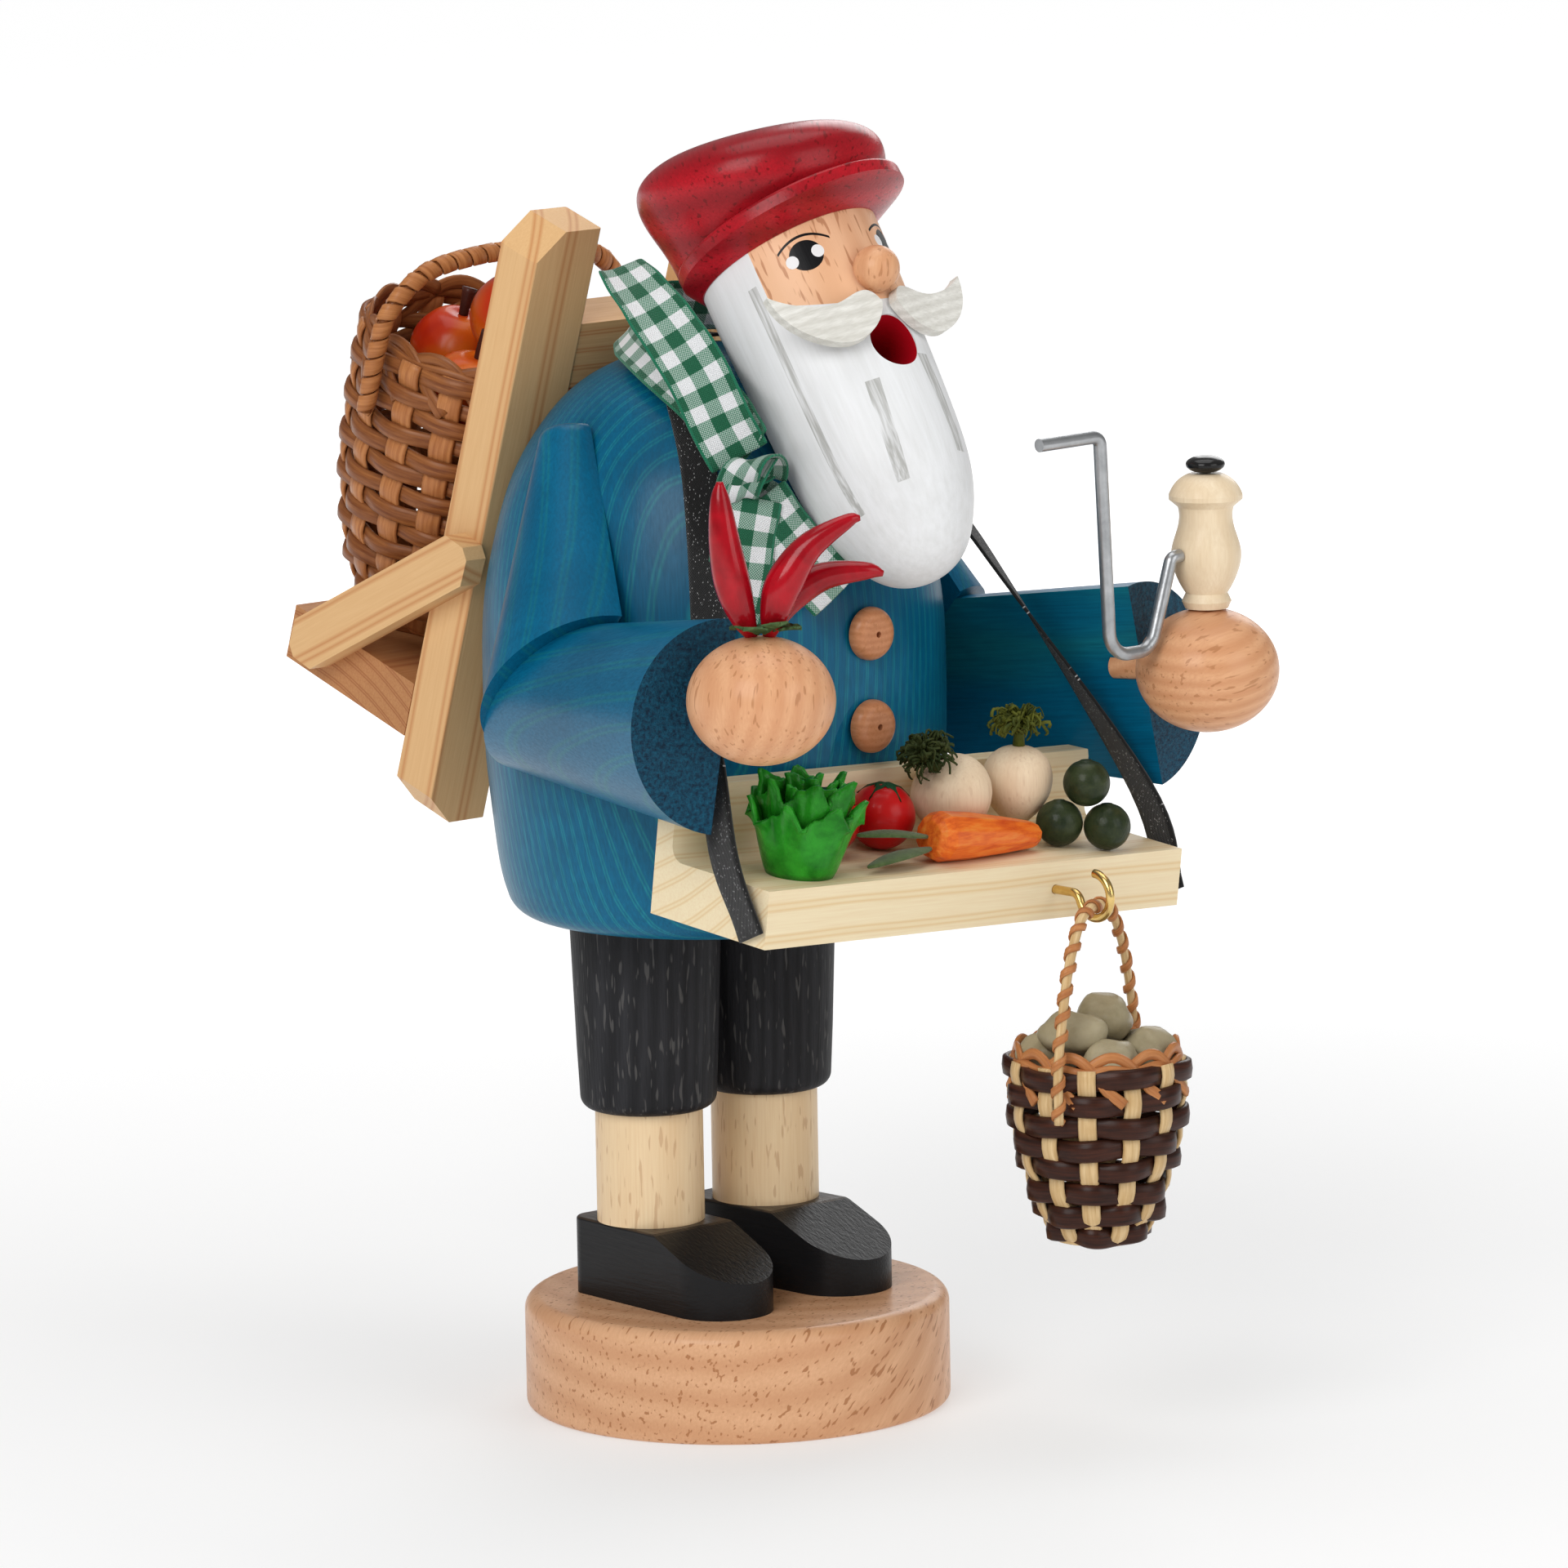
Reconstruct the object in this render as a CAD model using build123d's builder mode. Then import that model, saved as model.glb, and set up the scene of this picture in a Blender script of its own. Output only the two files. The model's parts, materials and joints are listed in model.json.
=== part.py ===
from build123d import *
import os
from math import cos, radians, sin

# Carved wooden incense smoker: a vegetable seller with a neck tray and a carrying frame.
# Millimetres, +Z up. Origin: centre of the underside of the round base. The figure faces -Y.
# "right" and "left" are the figure's own, so right is -X and left is +X.

os.makedirs("parts", exist_ok=True)

RIGHT = -1
LEFT = 1
SIDE_NAMES = {RIGHT: "right", LEFT: "left"}

# ---------------------------------------------------------------- driving dimensions
base_radius = 34.0
base_height = 18.0

leg_spacing = 24.4
leg_setback = 6.5
leg_radius = 8.6
shoe_top = 30.4
shoe_width = 16.6
shoe_heel_back = 17.6
shoe_toe_front = -19.0
shoe_splay = 2.5
hem_height = 48.6
hem_radius = 10.8
waist_height = 79.6
waist_leg_radius = 12.1
leg_pocket_depth = 9.0

torso_bottom = 79.7
torso_setback = 2.6
torso_radius = 36.8
chamber_radius = 19.0
chamber_top = 150.0
plug_radius = 18.92
plug_height = 7.5

head_tilt = 33.5
head_centre = (0, -22.96, 176.08)
head_radius = 14.8
beard_length = 46.7
head_flat = 11.3
mouth_radius = 4.4
mouth_drop = 12.0
mouth_bore_depth = 36.0

cap_axis = Vector(-0.09, 0.565, 0.835).normalized()
crown_axis = Vector(-0.02, 0.30, 0.953).normalized()
brim_radius = 19.3
crown_radius = 19.8
brim_thickness = 2.2
brim_cone = 2.6

sleeve_elbow_radius = 10.2
sleeve_cuff_radius = 16.5
cuff_distance = 51.0
left_arm_drop = 3.8

hand_radius = 11.3
hand_half_height = 9.8
hand_centres = {RIGHT: (-46.5, -61.6, 125.0), LEFT: (46.5, -61.8, 119.2)}

tray_length = 86.6
tray_depth = 26.7
tray_shelf = 9.1
tray_wall = 3.8
tray_wall_height = 20.5

wire_radius = 1.05
hook_wire_radius = 0.7
hook_ring_radius = 3.5

frame_tilt = 18.4
frame_outer = 24.4
rail_width = 12.3
rail_depth = 9.1
rail_top = 46.5
rail_bottom = -56.5
shelf_top = -35.3
shelf_back = 41.0

apple_basket_radius = 23.6
apple_basket_height = 48.0
apple_basket_back = 32.0
apple_filling = 34.0

potato_basket_radius = 15.0
potato_basket_height = 29.0
potato_basket_drop = 23.5
potato_filling = 22.0

strap_width = 5.6
strap_thickness = 0.5
scarf_width = 10.0
scarf_thickness = 0.45


def save(part, label):
    """Name a finished piece and write it to its own STEP file."""
    part.label = label
    export_step(part, f"parts/{label}.step")


def unit(*components):
    """A unit vector."""
    return Vector(*components).normalized()


# ---------------------------------------------------------------- reference planes
head_up = unit(0, sin(radians(head_tilt)), cos(radians(head_tilt)))
head_plane = Plane(origin=head_centre, x_dir=(1, 0, 0), z_dir=head_up)
face_dir = unit(0, -cos(radians(head_tilt)), sin(radians(head_tilt)))

tray_plane = Plane(origin=(0, -31.2, 86.3), x_dir=(1, 0, -0.049), z_dir=(0.049, -0.094, 0.994))

frame_origin = Vector(0, 28.4, 144.4)
frame_up = unit(0, -sin(radians(frame_tilt)), cos(radians(frame_tilt)))
frame_plane = Plane(origin=frame_origin, x_dir=(1, 0, 0), z_dir=frame_up)


def arm_plane(side):
    """The flat plane in which both sleeves of one arm are sawn, x forward along the forearm."""
    drop = left_arm_drop if side == LEFT else 0
    origin = Vector(side * 35, 0, 119.5 - drop)
    forward = unit(side * 0.177, -0.984, 0)
    outward = unit(side * 0.984, 0.177, 0.197)
    return Plane(origin=origin, x_dir=forward, z_dir=outward * -side)


def in_plane(plane, x, y, z=0):
    """World position of a point given in a plane's own coordinates."""
    return plane.from_local_coords(Vector(x, y, z))


# ---------------------------------------------------------------- base, shoes and legs
with BuildPart() as base_disc:
    with BuildSketch():
        Circle(base_radius)
    extrude(amount=base_height)
    fillet(base_disc.edges().group_by(Axis.Z)[-1], 2.4)
    fillet(base_disc.edges().group_by(Axis.Z)[0], 1.2)
save(base_disc.part, "base_disc")


def make_shoe(side):
    """A block shoe: flat under the leg, one slanted cut down to a rounded toe."""
    plane = Plane(
        origin=(side * leg_spacing / 2, 0, base_height),
        x_dir=(cos(radians(side * shoe_splay)), sin(radians(side * shoe_splay)), 0),
        z_dir=(0, 0, 1),
    )
    height = shoe_top - base_height
    half = shoe_width / 2
    toe_start = shoe_toe_front + half
    with BuildPart() as shoe:
        with BuildSketch(plane):
            with BuildLine():
                Line((-half, toe_start), (-half, shoe_heel_back))
                Line((-half, shoe_heel_back), (half, shoe_heel_back))
                Line((half, shoe_heel_back), (half, toe_start))
                ThreePointArc((half, toe_start), (0, shoe_toe_front), (-half, toe_start))
            make_face()
        extrude(amount=height)
        fillet(shoe.edges().filter_by(Axis.Z).sort_by(Axis.Y)[-2:], 3.0)
        cut_plane = Plane(origin=in_plane(plane, 0, -3.4, height), x_dir=(1, 0, 0), z_dir=(0, -0.40, 0.92))
        split(bisect_by=cut_plane, keep=Keep.BOTTOM)
        fillet(shoe.edges().group_by(Axis.Z)[-1], 0.5)
    save(shoe.part, f"shoe_{SIDE_NAMES[side]}")


def make_leg(side):
    """A bare dowel leg that stands on the shoe and is glued up into the trouser."""
    with BuildPart() as leg:
        with BuildSketch(Plane.XY.offset(shoe_top)):
            with Locations((side * leg_spacing / 2, leg_setback)):
                Circle(leg_radius)
        extrude(amount=hem_height - shoe_top + leg_pocket_depth)
    save(leg.part, f"leg_{SIDE_NAMES[side]}")


def make_trouser(side):
    """A turned trouser leg, wider at the waist, with a rounded hem and a pocket for the dowel."""
    centre = Plane(origin=(side * leg_spacing / 2, leg_setback, 0), x_dir=(1, 0, 0), z_dir=(0, -1, 0))
    with BuildPart() as trouser:
        with BuildSketch(centre):
            with BuildLine():
                Polyline(
                    (0, hem_height),
                    (hem_radius, hem_height),
                    (hem_radius + 0.5, hem_height + 10),
                    (waist_leg_radius, waist_height),
                    (0, waist_height),
                    close=True,
                )
            make_face()
        revolve(axis=Axis(centre.origin, (0, 0, 1)))
        fillet(trouser.edges().group_by(Axis.Z)[0], 2.2)
        with BuildSketch(Plane.XY.offset(hem_height)):
            with Locations((side * leg_spacing / 2, leg_setback)):
                Circle(leg_radius + 0.05)
        extrude(amount=leg_pocket_depth + 0.1, mode=Mode.SUBTRACT)
    save(trouser.part, f"trouser_{SIDE_NAMES[side]}")


for side in (RIGHT, LEFT):
    make_shoe(side)
    make_leg(side)
    make_trouser(side)

# The plug closes the hollow torso from below and carries the incense cone on a metal plate.
plug_top = waist_height + plug_height
with BuildPart() as waist_plug:
    with BuildSketch(Plane.XY.offset(waist_height)):
        with Locations((0, torso_setback)):
            Circle(plug_radius)
    extrude(amount=plug_height)
    chamfer(waist_plug.edges().group_by(Axis.Z)[-1], 0.6)
    with BuildSketch(Plane.XY.offset(plug_top)):
        with Locations((0, torso_setback)):
            Circle(0.85)
    extrude(amount=-5.2, mode=Mode.SUBTRACT)
save(waist_plug.part, "waist_plug")

with BuildPart() as incense_plate:
    with BuildSketch(Plane.XY.offset(plug_top)):
        with Locations((0, torso_setback)):
            Circle(13)
            Circle(0.9, mode=Mode.SUBTRACT)
    extrude(amount=0.5)
save(incense_plate.part, "incense_plate")

with BuildPart() as plate_nail:
    with BuildSketch(Plane.XY.offset(plug_top - 5)):
        with Locations((0, torso_setback)):
            Circle(0.8)
    extrude(amount=5.5)
    with BuildSketch(Plane.XY.offset(plug_top + 0.5)):
        with Locations((0, torso_setback)):
            Circle(1.8)
    extrude(amount=0.7)
save(plate_nail.part, "plate_nail")


# ---------------------------------------------------------------- round bodies
def spheroid(centre, half_width, half_height, axis_dir=(0, 0, 1), side_dir=(1, 0, 0)):
    """An ellipsoid of revolution about axis_dir."""
    plane = Plane(origin=centre, x_dir=side_dir, z_dir=Vector(*side_dir).cross(Vector(*axis_dir)))
    angles = [radians(angle) for angle in range(-90, 91, 15)]
    outline = [(half_width * cos(angle), half_height * sin(angle)) for angle in angles]
    outline[0] = (0, -half_height)
    outline[-1] = (0, half_height)
    with BuildPart() as body:
        with BuildSketch(plane):
            with BuildLine():
                Spline(*outline, tangents=((1, 0), (-1, 0)))
                Line(outline[-1], outline[0])
            make_face()
        revolve(axis=Axis(centre, axis_dir))
    return body.part


# ---------------------------------------------------------------- sleeves and hands
def half_cone(plane, length, start_radius, end_radius):
    """Half of a turned cone, its flat sawn face in the plane and its axis along the plane's x."""
    with BuildPart() as piece:
        with BuildSketch(plane):
            with BuildLine():
                Polyline((0, 0), (0, start_radius), (length, end_radius), (length, 0), close=True)
            make_face()
        revolve(axis=Axis(plane.origin, plane.x_dir), revolution_arc=180)
    return piece.part


def sleeve_planes(side):
    """Axis planes of the forearm and the upper arm, and the mitre plane between them."""
    plane = arm_plane(side)
    bulge = plane.z_dir * -side
    fore_start = in_plane(plane, -20, -3.4)
    fore_end = in_plane(plane, cuff_distance, 0)
    upper_start = in_plane(plane, 9.9, -7)
    upper_end = in_plane(plane, -6.5, 40)
    fore = Plane(origin=fore_start, x_dir=fore_end - fore_start, z_dir=bulge)
    upper = Plane(origin=upper_start, x_dir=upper_end - upper_start, z_dir=bulge)
    across = plane.x_dir * 0.743 - plane.y_dir * 0.669
    mitre = Plane(origin=in_plane(plane, 3.65, -1.25), x_dir=bulge, z_dir=across)
    return fore, upper, mitre


def make_sleeves(side):
    """Forearm and upper arm, mitred at the elbow; returns the solid that seats in the torso."""
    fore_plane, upper_plane, mitre = sleeve_planes(side)
    fore_cone = half_cone(fore_plane, 71.1, sleeve_elbow_radius, sleeve_cuff_radius)
    upper_cone = half_cone(upper_plane, 49.8, 16.8, 5.0)
    with BuildPart() as forearm:
        add(fore_cone)
        split(bisect_by=mitre, keep=Keep.TOP)
        cuff = Plane(origin=in_plane(fore_plane, 71.1, 0), x_dir=fore_plane.y_dir, z_dir=fore_plane.x_dir)
        with BuildSketch(cuff):
            with Locations(in_sketch_hand(side, cuff)):
                Circle(2.05)
        extrude(amount=-6.2, mode=Mode.SUBTRACT)
    with BuildPart() as upper_arm:
        add(upper_cone)
        split(bisect_by=mitre, keep=Keep.BOTTOM)
        fillet(upper_arm.edges().group_by(Axis.Z)[-1].filter_by(GeomType.CIRCLE), 2.2)
    save(forearm.part, f"forearm_{SIDE_NAMES[side]}")
    save(upper_arm.part, f"upper_arm_{SIDE_NAMES[side]}")
    return [forearm.part, upper_arm.part]


def hand_centre(side):
    """Centre of the ball hand, just in front of the sleeve's sawn end."""
    return Vector(*hand_centres[side])


def in_sketch_hand(side, cuff):
    """Where the hand's peg enters the cuff, in the cuff's own sketch coordinates."""
    local = cuff.to_local_coords(hand_centre(side))
    return [(local.X, local.Y)]


def make_hand(side):
    """A turned, flattened ball with a short peg glued into the sleeve."""
    centre = hand_centre(side)
    fore_plane = sleeve_planes(side)[0]
    cuff_point = in_plane(fore_plane, 71.1, 0)
    gap = (centre - cuff_point).dot(fore_plane.x_dir)
    round_ball = Solid.make_sphere(1, angle1=-90, angle2=90, angle3=360)
    ball = scale(round_ball, by=(hand_radius, hand_radius, hand_half_height)).moved(Location(centre))
    with BuildPart() as hand:
        add(ball)
        with BuildSketch(Plane(origin=centre, x_dir=fore_plane.y_dir, z_dir=fore_plane.x_dir)):
            Circle(2)
        extrude(amount=-(gap + 6))
        for sleeve in sleeve_solids:
            add(sleeve, mode=Mode.SUBTRACT)
    save(hand.part, f"hand_{SIDE_NAMES[side]}")


sleeve_solids = make_sleeves(RIGHT) + make_sleeves(LEFT)
make_hand(RIGHT)
make_hand(LEFT)

# ---------------------------------------------------------------- torso
mouth_origin = in_plane(head_plane, 0, 0, -mouth_drop) + face_dir * (head_radius + 3)
mouth_plane = Plane(origin=mouth_origin, x_dir=(1, 0, 0), z_dir=face_dir)
torso_axis = Axis((0, torso_setback, 0), (0, 0, 1))
torso_section = Plane(origin=(0, torso_setback, 0), x_dir=(1, 0, 0), z_dir=(0, -1, 0))
head_seat = in_plane(head_plane, 0, head_flat, -22)
button_heights = {"button_upper": 127.4, "button_lower": 112.8}

with BuildPart() as torso:
    with BuildSketch(torso_section):
        with BuildLine():
            Line((0, torso_bottom), (29.6, torso_bottom))
            ThreePointArc((29.6, torso_bottom), (32.3, torso_bottom + 1.3), (33.6, torso_bottom + 3.6))
            Spline((33.6, torso_bottom + 3.6), (35.5, 94), (36.6, 106), (36.8, 118), (36.3, 130), (34.4, 140),
                   (31.0, 150.5), (26.6, 157.8), (19.8, 164.6), (10.5, 168.8), (0, 170),
                   tangents=((0.35, 1), (-1, 0)))
            Line((0, 170), (0, torso_bottom))
        make_face()
    revolve(axis=torso_axis)
    with BuildSketch(Plane.XY.offset(torso_bottom)):
        with Locations((0, torso_setback)):
            Circle(chamber_radius)
    extrude(amount=chamber_top - torso_bottom, mode=Mode.SUBTRACT)
    split(bisect_by=Plane(origin=head_seat, x_dir=(1, 0, 0), z_dir=face_dir), keep=Keep.BOTTOM)
    split(bisect_by=Plane(origin=frame_origin, x_dir=(1, 0, 0), z_dir=frame_plane.y_dir), keep=Keep.BOTTOM)
    split(bisect_by=Plane(origin=tray_plane.origin, x_dir=(1, 0, 0), z_dir=tray_plane.y_dir * -1),
          keep=Keep.BOTTOM)
    with BuildSketch(mouth_plane):
        Circle(mouth_radius)
    extrude(amount=-(mouth_bore_depth + head_radius), mode=Mode.SUBTRACT)
    for height in button_heights.values():
        with BuildSketch(Plane(origin=(0, torso_setback - torso_radius, height), z_dir=(0, -1, 0))):
            Circle(1.5)
        extrude(amount=-6, mode=Mode.SUBTRACT)
    for sleeve in sleeve_solids:
        add(sleeve, mode=Mode.SUBTRACT)
save(torso.part, "torso")

for name, height in button_heights.items():
    with BuildPart() as button:
        with BuildSketch(Plane(origin=(0, torso_setback - torso_radius - 0.1, height), z_dir=(0, -1, 0))):
            Circle(4.2)
        extrude(amount=2.3)
        fillet(button.edges().group_by(Axis.Y)[0], 1.9)
        with BuildSketch(Plane(origin=(0, torso_setback - torso_radius - 0.1, height), z_dir=(0, -1, 0))):
            Circle(1.45)
        extrude(amount=-5)
        with BuildSketch(Plane(origin=(0, torso_setback - torso_radius - 2.4, height), z_dir=(0, -1, 0))):
            Circle(0.5)
        extrude(amount=-1.2, mode=Mode.SUBTRACT)
    save(button.part, name)

# ---------------------------------------------------------------- head, nose and moustache
head_section = Plane(origin=head_centre, x_dir=(1, 0, 0), z_dir=face_dir)
head_axis = Axis(head_centre, head_up)
brim_base = in_plane(head_plane, 0, -2.8, 15.34) - cap_axis * (brim_cone + brim_thickness)
brim_plane = Plane(origin=brim_base, x_dir=(1, 0, 0), z_dir=cap_axis)

with BuildPart() as head:
    with BuildSketch(head_section):
        with BuildLine():
            Line((0, -beard_length), (0, 24))
            Line((0, 24), (14.9, 24))
            Line((14.9, 24), (14.9, 4))
            Spline((14.9, 4), (14.4, -12), (13.9, -24), (12.7, -33), (10.2, -39.5), (6.6, -44.4),
                   (0, -beard_length), tangents=((-0.02, -1), (-1, 0)))
        make_face()
    revolve(axis=head_axis)
    split(bisect_by=brim_plane, keep=Keep.BOTTOM)
    split(bisect_by=Plane(origin=head_seat, x_dir=(1, 0, 0), z_dir=face_dir), keep=Keep.TOP)
    with BuildSketch(mouth_plane):
        Circle(mouth_radius)
    extrude(amount=-(mouth_bore_depth + head_radius), mode=Mode.SUBTRACT)
    with BuildSketch(Plane(origin=in_plane(head_plane, 0.4, 0, -0.6) + face_dir * (head_radius + 1),
                           z_dir=face_dir)):
        Circle(1.5)
    extrude(amount=-7, mode=Mode.SUBTRACT)
save(head.part, "head")

nose_centre = in_plane(head_plane, 0.4, 0, -0.6) + face_dir * 16.3
with BuildPart() as nose:
    with BuildSketch(Plane(origin=nose_centre, x_dir=face_dir, z_dir=(1, 0, 0))):
        with BuildLine():
            CenterArc((0, 0), 3.7, 0, 180)
            Line((-3.7, 0), (3.7, 0))
        make_face()
    revolve(axis=Axis(nose_centre, face_dir))
    face_cutter = Plane(origin=nose_centre + face_dir * -1.35, z_dir=face_dir)
    split(bisect_by=face_cutter, keep=Keep.TOP)
    with BuildSketch(face_cutter):
        Circle(1.45)
    extrude(amount=-4)
save(nose.part, "nose")

moustache_angle = 13.0
moustache_standoff = 15.3
for side in (RIGHT, LEFT):
    turn = radians(moustache_angle)
    along = Vector(side * cos(turn), 0, 0) + face_dir * -sin(turn)
    outward = face_dir * cos(turn) + Vector(side * sin(turn), 0, 0)
    origin = Vector(*head_centre) + face_dir * moustache_standoff
    with BuildPart() as moustache:
        with BuildSketch(Plane(origin=origin, x_dir=along, z_dir=outward)):
            with BuildLine():
                Spline((1.2, side * -6.4), (3.4, side * -3.9), (8, side * -4.9), (13.5, side * -4.6),
                       (20, side * -1.6))
                Spline((20, side * -1.6), (18.4, side * -6.2), (13.4, side * -10.5), (8.6, side * -11.8),
                       (3.8, side * -10), (1.2, side * -6.4))
            make_face()
        extrude(amount=1.7)
    save(moustache.part, f"moustache_{SIDE_NAMES[side]}")

# ---------------------------------------------------------------- cap
brim_ring = brim_plane.offset(brim_cone)
with BuildPart() as cap_brim:
    with BuildSketch(brim_plane):
        with Locations((-0.4, 2.9)):
            Circle(15.2)
    with BuildSketch(brim_ring):
        Circle(brim_radius)
    loft()
    with BuildSketch(brim_ring):
        Circle(brim_radius)
    extrude(amount=brim_thickness)
    fillet(cap_brim.edges().group_by(Axis(brim_base, cap_axis))[-1], 0.6)
save(cap_brim.part, "cap_brim")

brim_top = brim_plane.offset(brim_cone + brim_thickness)
crown_top = in_plane(head_plane, 0.4, -2.6, 31.0)
crown_side = Vector(0, 1, 0).cross(crown_axis)
crown_section = Plane(origin=crown_top, x_dir=crown_side, z_dir=crown_side.cross(crown_axis))
with BuildPart() as cap_crown:
    with BuildSketch(crown_section):
        with BuildLine():
            Spline((0, 0), (10, -0.3), (16.2, -1.9), (19.4, -4.8), (crown_radius, -8), (18.8, -11.6),
                   (17.2, -15.6), (15.9, -20.5), (15.4, -27), tangents=((1, 0), (0, -1)))
            Line((15.4, -27), (0, -27))
            Line((0, -27), (0, 0))
        make_face()
    revolve(axis=Axis(crown_top, crown_axis))
    split(bisect_by=brim_top, keep=Keep.TOP)
save(cap_crown.part, "cap_crown")


# ---------------------------------------------------------------- ribbons
def ribbon(sections, width, thickness):
    """A flat band lofted through sections given as (position, tangent, width direction)."""
    with BuildPart() as band:
        for position, tangent, across in sections:
            with BuildSketch(Plane(origin=position, x_dir=across, z_dir=tangent)):
                Rectangle(width, thickness)
        loft(ruled=True)
    return band.part


def ribbon_path(points, across, width, thickness):
    """A ribbon through points, its width along the vectors in across, one vector per point."""
    vectors = [Vector(*point) for point in points]
    sections = []
    for index, position in enumerate(vectors):
        before = vectors[max(index - 1, 0)]
        after = vectors[min(index + 1, len(vectors) - 1)]
        tangent = (after - before).normalized()
        side_dir = Vector(*across[index])
        side_dir = (side_dir - tangent * side_dir.dot(tangent)).normalized()
        sections.append((position, tangent, side_dir))
    return ribbon(sections, width, thickness)


def strap_points(side):
    """Half of the carrying strap, from behind the neck to the lower front corner of the tray's end."""
    drop = 4.2 if side == LEFT else 0
    return [
        (side * 0.01, 7.6, 170.75),
        (side * 9.0, 3.4, 170.2),
        (side * 15.6, -7.0, 167.6),
        (side * 19.4, -14.6, 161.8),
        (side * 22.6, -20.6, 154.4),
        (side * 25.0, -24.4, 146.0),
        (side * 44.1, -48.6, 104.0 - drop),
        (side * 44.1, -55.6, 87.6 - drop),
    ]


strap_across = [(0, 1, 0), (0, 1, 0), (0.75, -0.65, 0), (0.75, -0.65, 0), (0.75, -0.65, 0), (0.8, -0.3, 0.1),
                (0.55, 0.83, 0)]
mirrored_across = [(-x, y, z) for x, y, z in strap_across]
strap_path = strap_points(RIGHT)[:0:-1] + [(0, 7.6, 171.0)] + strap_points(LEFT)[1:]
strap_widths = strap_across + [(0, 1, 0)] + [(-x, -y, -z) for x, y, z in mirrored_across[::-1]]
strap_band = ribbon_path(strap_path, strap_widths, strap_width, strap_thickness)
with BuildPart() as tray_strap_cut:
    add(strap_band)
    add(torso.part, mode=Mode.SUBTRACT)
tray_strap = tray_strap_cut.part
save(tray_strap, "tray_strap")

# ---------------------------------------------------------------- tray
with BuildPart() as tray:
    profile_plane = Plane(origin=in_plane(tray_plane, -tray_length / 2, 0),
                          x_dir=tray_plane.y_dir * -1, z_dir=tray_plane.x_dir * -1)
    with BuildSketch(profile_plane):
        with BuildLine():
            Polyline((0, 0), (tray_depth, 0), (tray_depth, tray_shelf), (tray_wall + 2.6, tray_shelf))
            ThreePointArc((tray_wall + 2.6, tray_shelf), (tray_wall + 0.75, tray_shelf + 0.75),
                          (tray_wall, tray_shelf + 2.6))
            Polyline((tray_wall, tray_shelf + 2.6), (tray_wall, tray_wall_height),
                     (0, tray_wall_height), (0, 0))
        make_face()
    extrude(amount=-tray_length)
    hook_hole_centre = in_plane(tray_plane, 16.5, -tray_depth, 4.7) - Vector(0, 1, 0)
    with BuildSketch(Plane(origin=hook_hole_centre, z_dir=(0, -1, 0))):
        Circle(hook_wire_radius + 0.05)
    extrude(amount=-7, mode=Mode.SUBTRACT)
    for sleeve in sleeve_solids:
        add(sleeve, mode=Mode.SUBTRACT)
save(tray.part, "tray")

# Brass screw hook: straight shank out of the tray's front, then a ring open towards the tray.
hook_entry = in_plane(tray_plane, 16.5, -tray_depth, 4.7)
hook_x = hook_entry.X
ring_y = hook_entry.Y - 9.0
ring_z = hook_entry.Z
with BuildPart() as tray_hook:
    hook_plane = Plane(origin=(hook_x, ring_y, ring_z), x_dir=(0, -1, 0), z_dir=(-1, 0, 0))
    with BuildLine(hook_plane) as hook_path:
        shank = Line((-14.4, 0), (-5.0, 0))
        neck = JernArc(start=(-5.0, 0), tangent=(1, 0), radius=1.8, arc_size=-70)
        JernArc(start=neck @ 1, tangent=neck % 1, radius=hook_ring_radius, arc_size=250)
    with BuildSketch(Plane(origin=hook_path.line @ 0, z_dir=hook_path.line % 0)):
        Circle(hook_wire_radius)
    sweep(path=hook_path.line)
save(tray_hook.part, "tray_hook")

# ---------------------------------------------------------------- pipe
pipe_axis = hand_centre(LEFT)
bowl_bottom = pipe_axis.Z + hand_half_height - 0.35
bowl_section = Plane(origin=(pipe_axis.X, pipe_axis.Y, bowl_bottom), x_dir=(1, 0, 0), z_dir=(0, -1, 0))
with BuildPart() as pipe_bowl:
    with BuildSketch(bowl_section):
        with BuildLine():
            Polyline((0, 0.4), (3.4, 0.4), (3.9, 1.5), (3.3, 2.8))
            Spline((3.3, 2.8), (5.1, 6.5), (5.5, 9.2), (4.5, 13), (4.4, 16.4))
            Polyline((4.4, 16.4), (5.8, 17.6), (5.8, 18.3))
            Spline((5.8, 18.3), (4.3, 20.6), (2.6, 21.6))
            Polyline((2.6, 21.6), (0, 21.6), (0, 0.4))
        make_face()
    revolve(axis=Axis(bowl_section.origin, (0, 0, 1)))
save(pipe_bowl.part, "pipe_bowl")

pipe_lid_knob = spheroid(Vector(pipe_axis.X, pipe_axis.Y, bowl_bottom + 23.05), 3.1, 1.4)
save(pipe_lid_knob, "pipe_lid_knob")

with BuildPart() as pipe_stem:
    stem_plane = Plane(origin=bowl_section.origin, x_dir=(-1, 0, 0), z_dir=(0, 1, 0))
    with BuildLine(stem_plane) as stem_path:
        FilletPolyline((5.7, 9.2), (7.6, 9.0), (12.2, -5.0), (20.9, -5.0), (22.6, 29.6), (35.4, 29.4),
                       radius=[1.2, 3.6, 4.0, 1.6])
    with BuildSketch(Plane(origin=stem_path.line @ 0, z_dir=stem_path.line % 0)):
        Circle(wire_radius)
    sweep(path=stem_path.line)
save(pipe_stem.part, "pipe_stem")


# ---------------------------------------------------------------- soft and small goods
def tapered_tube(points, radii):
    """A closed tube of changing radius, lofted through circles set square to its path."""
    vectors = [Vector(*point) for point in points]
    with BuildPart() as tube:
        for index, radius in enumerate(radii):
            before = vectors[max(index - 1, 0)]
            after = vectors[min(index + 1, len(vectors) - 1)]
            with BuildSketch(Plane(origin=vectors[index], z_dir=after - before)):
                Circle(radius)
        loft(ruled=True)
    return tube.part


right_hand = hand_centre(RIGHT)
chili_foot = right_hand + Vector(0, 0, hand_half_height + 0.3)


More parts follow.
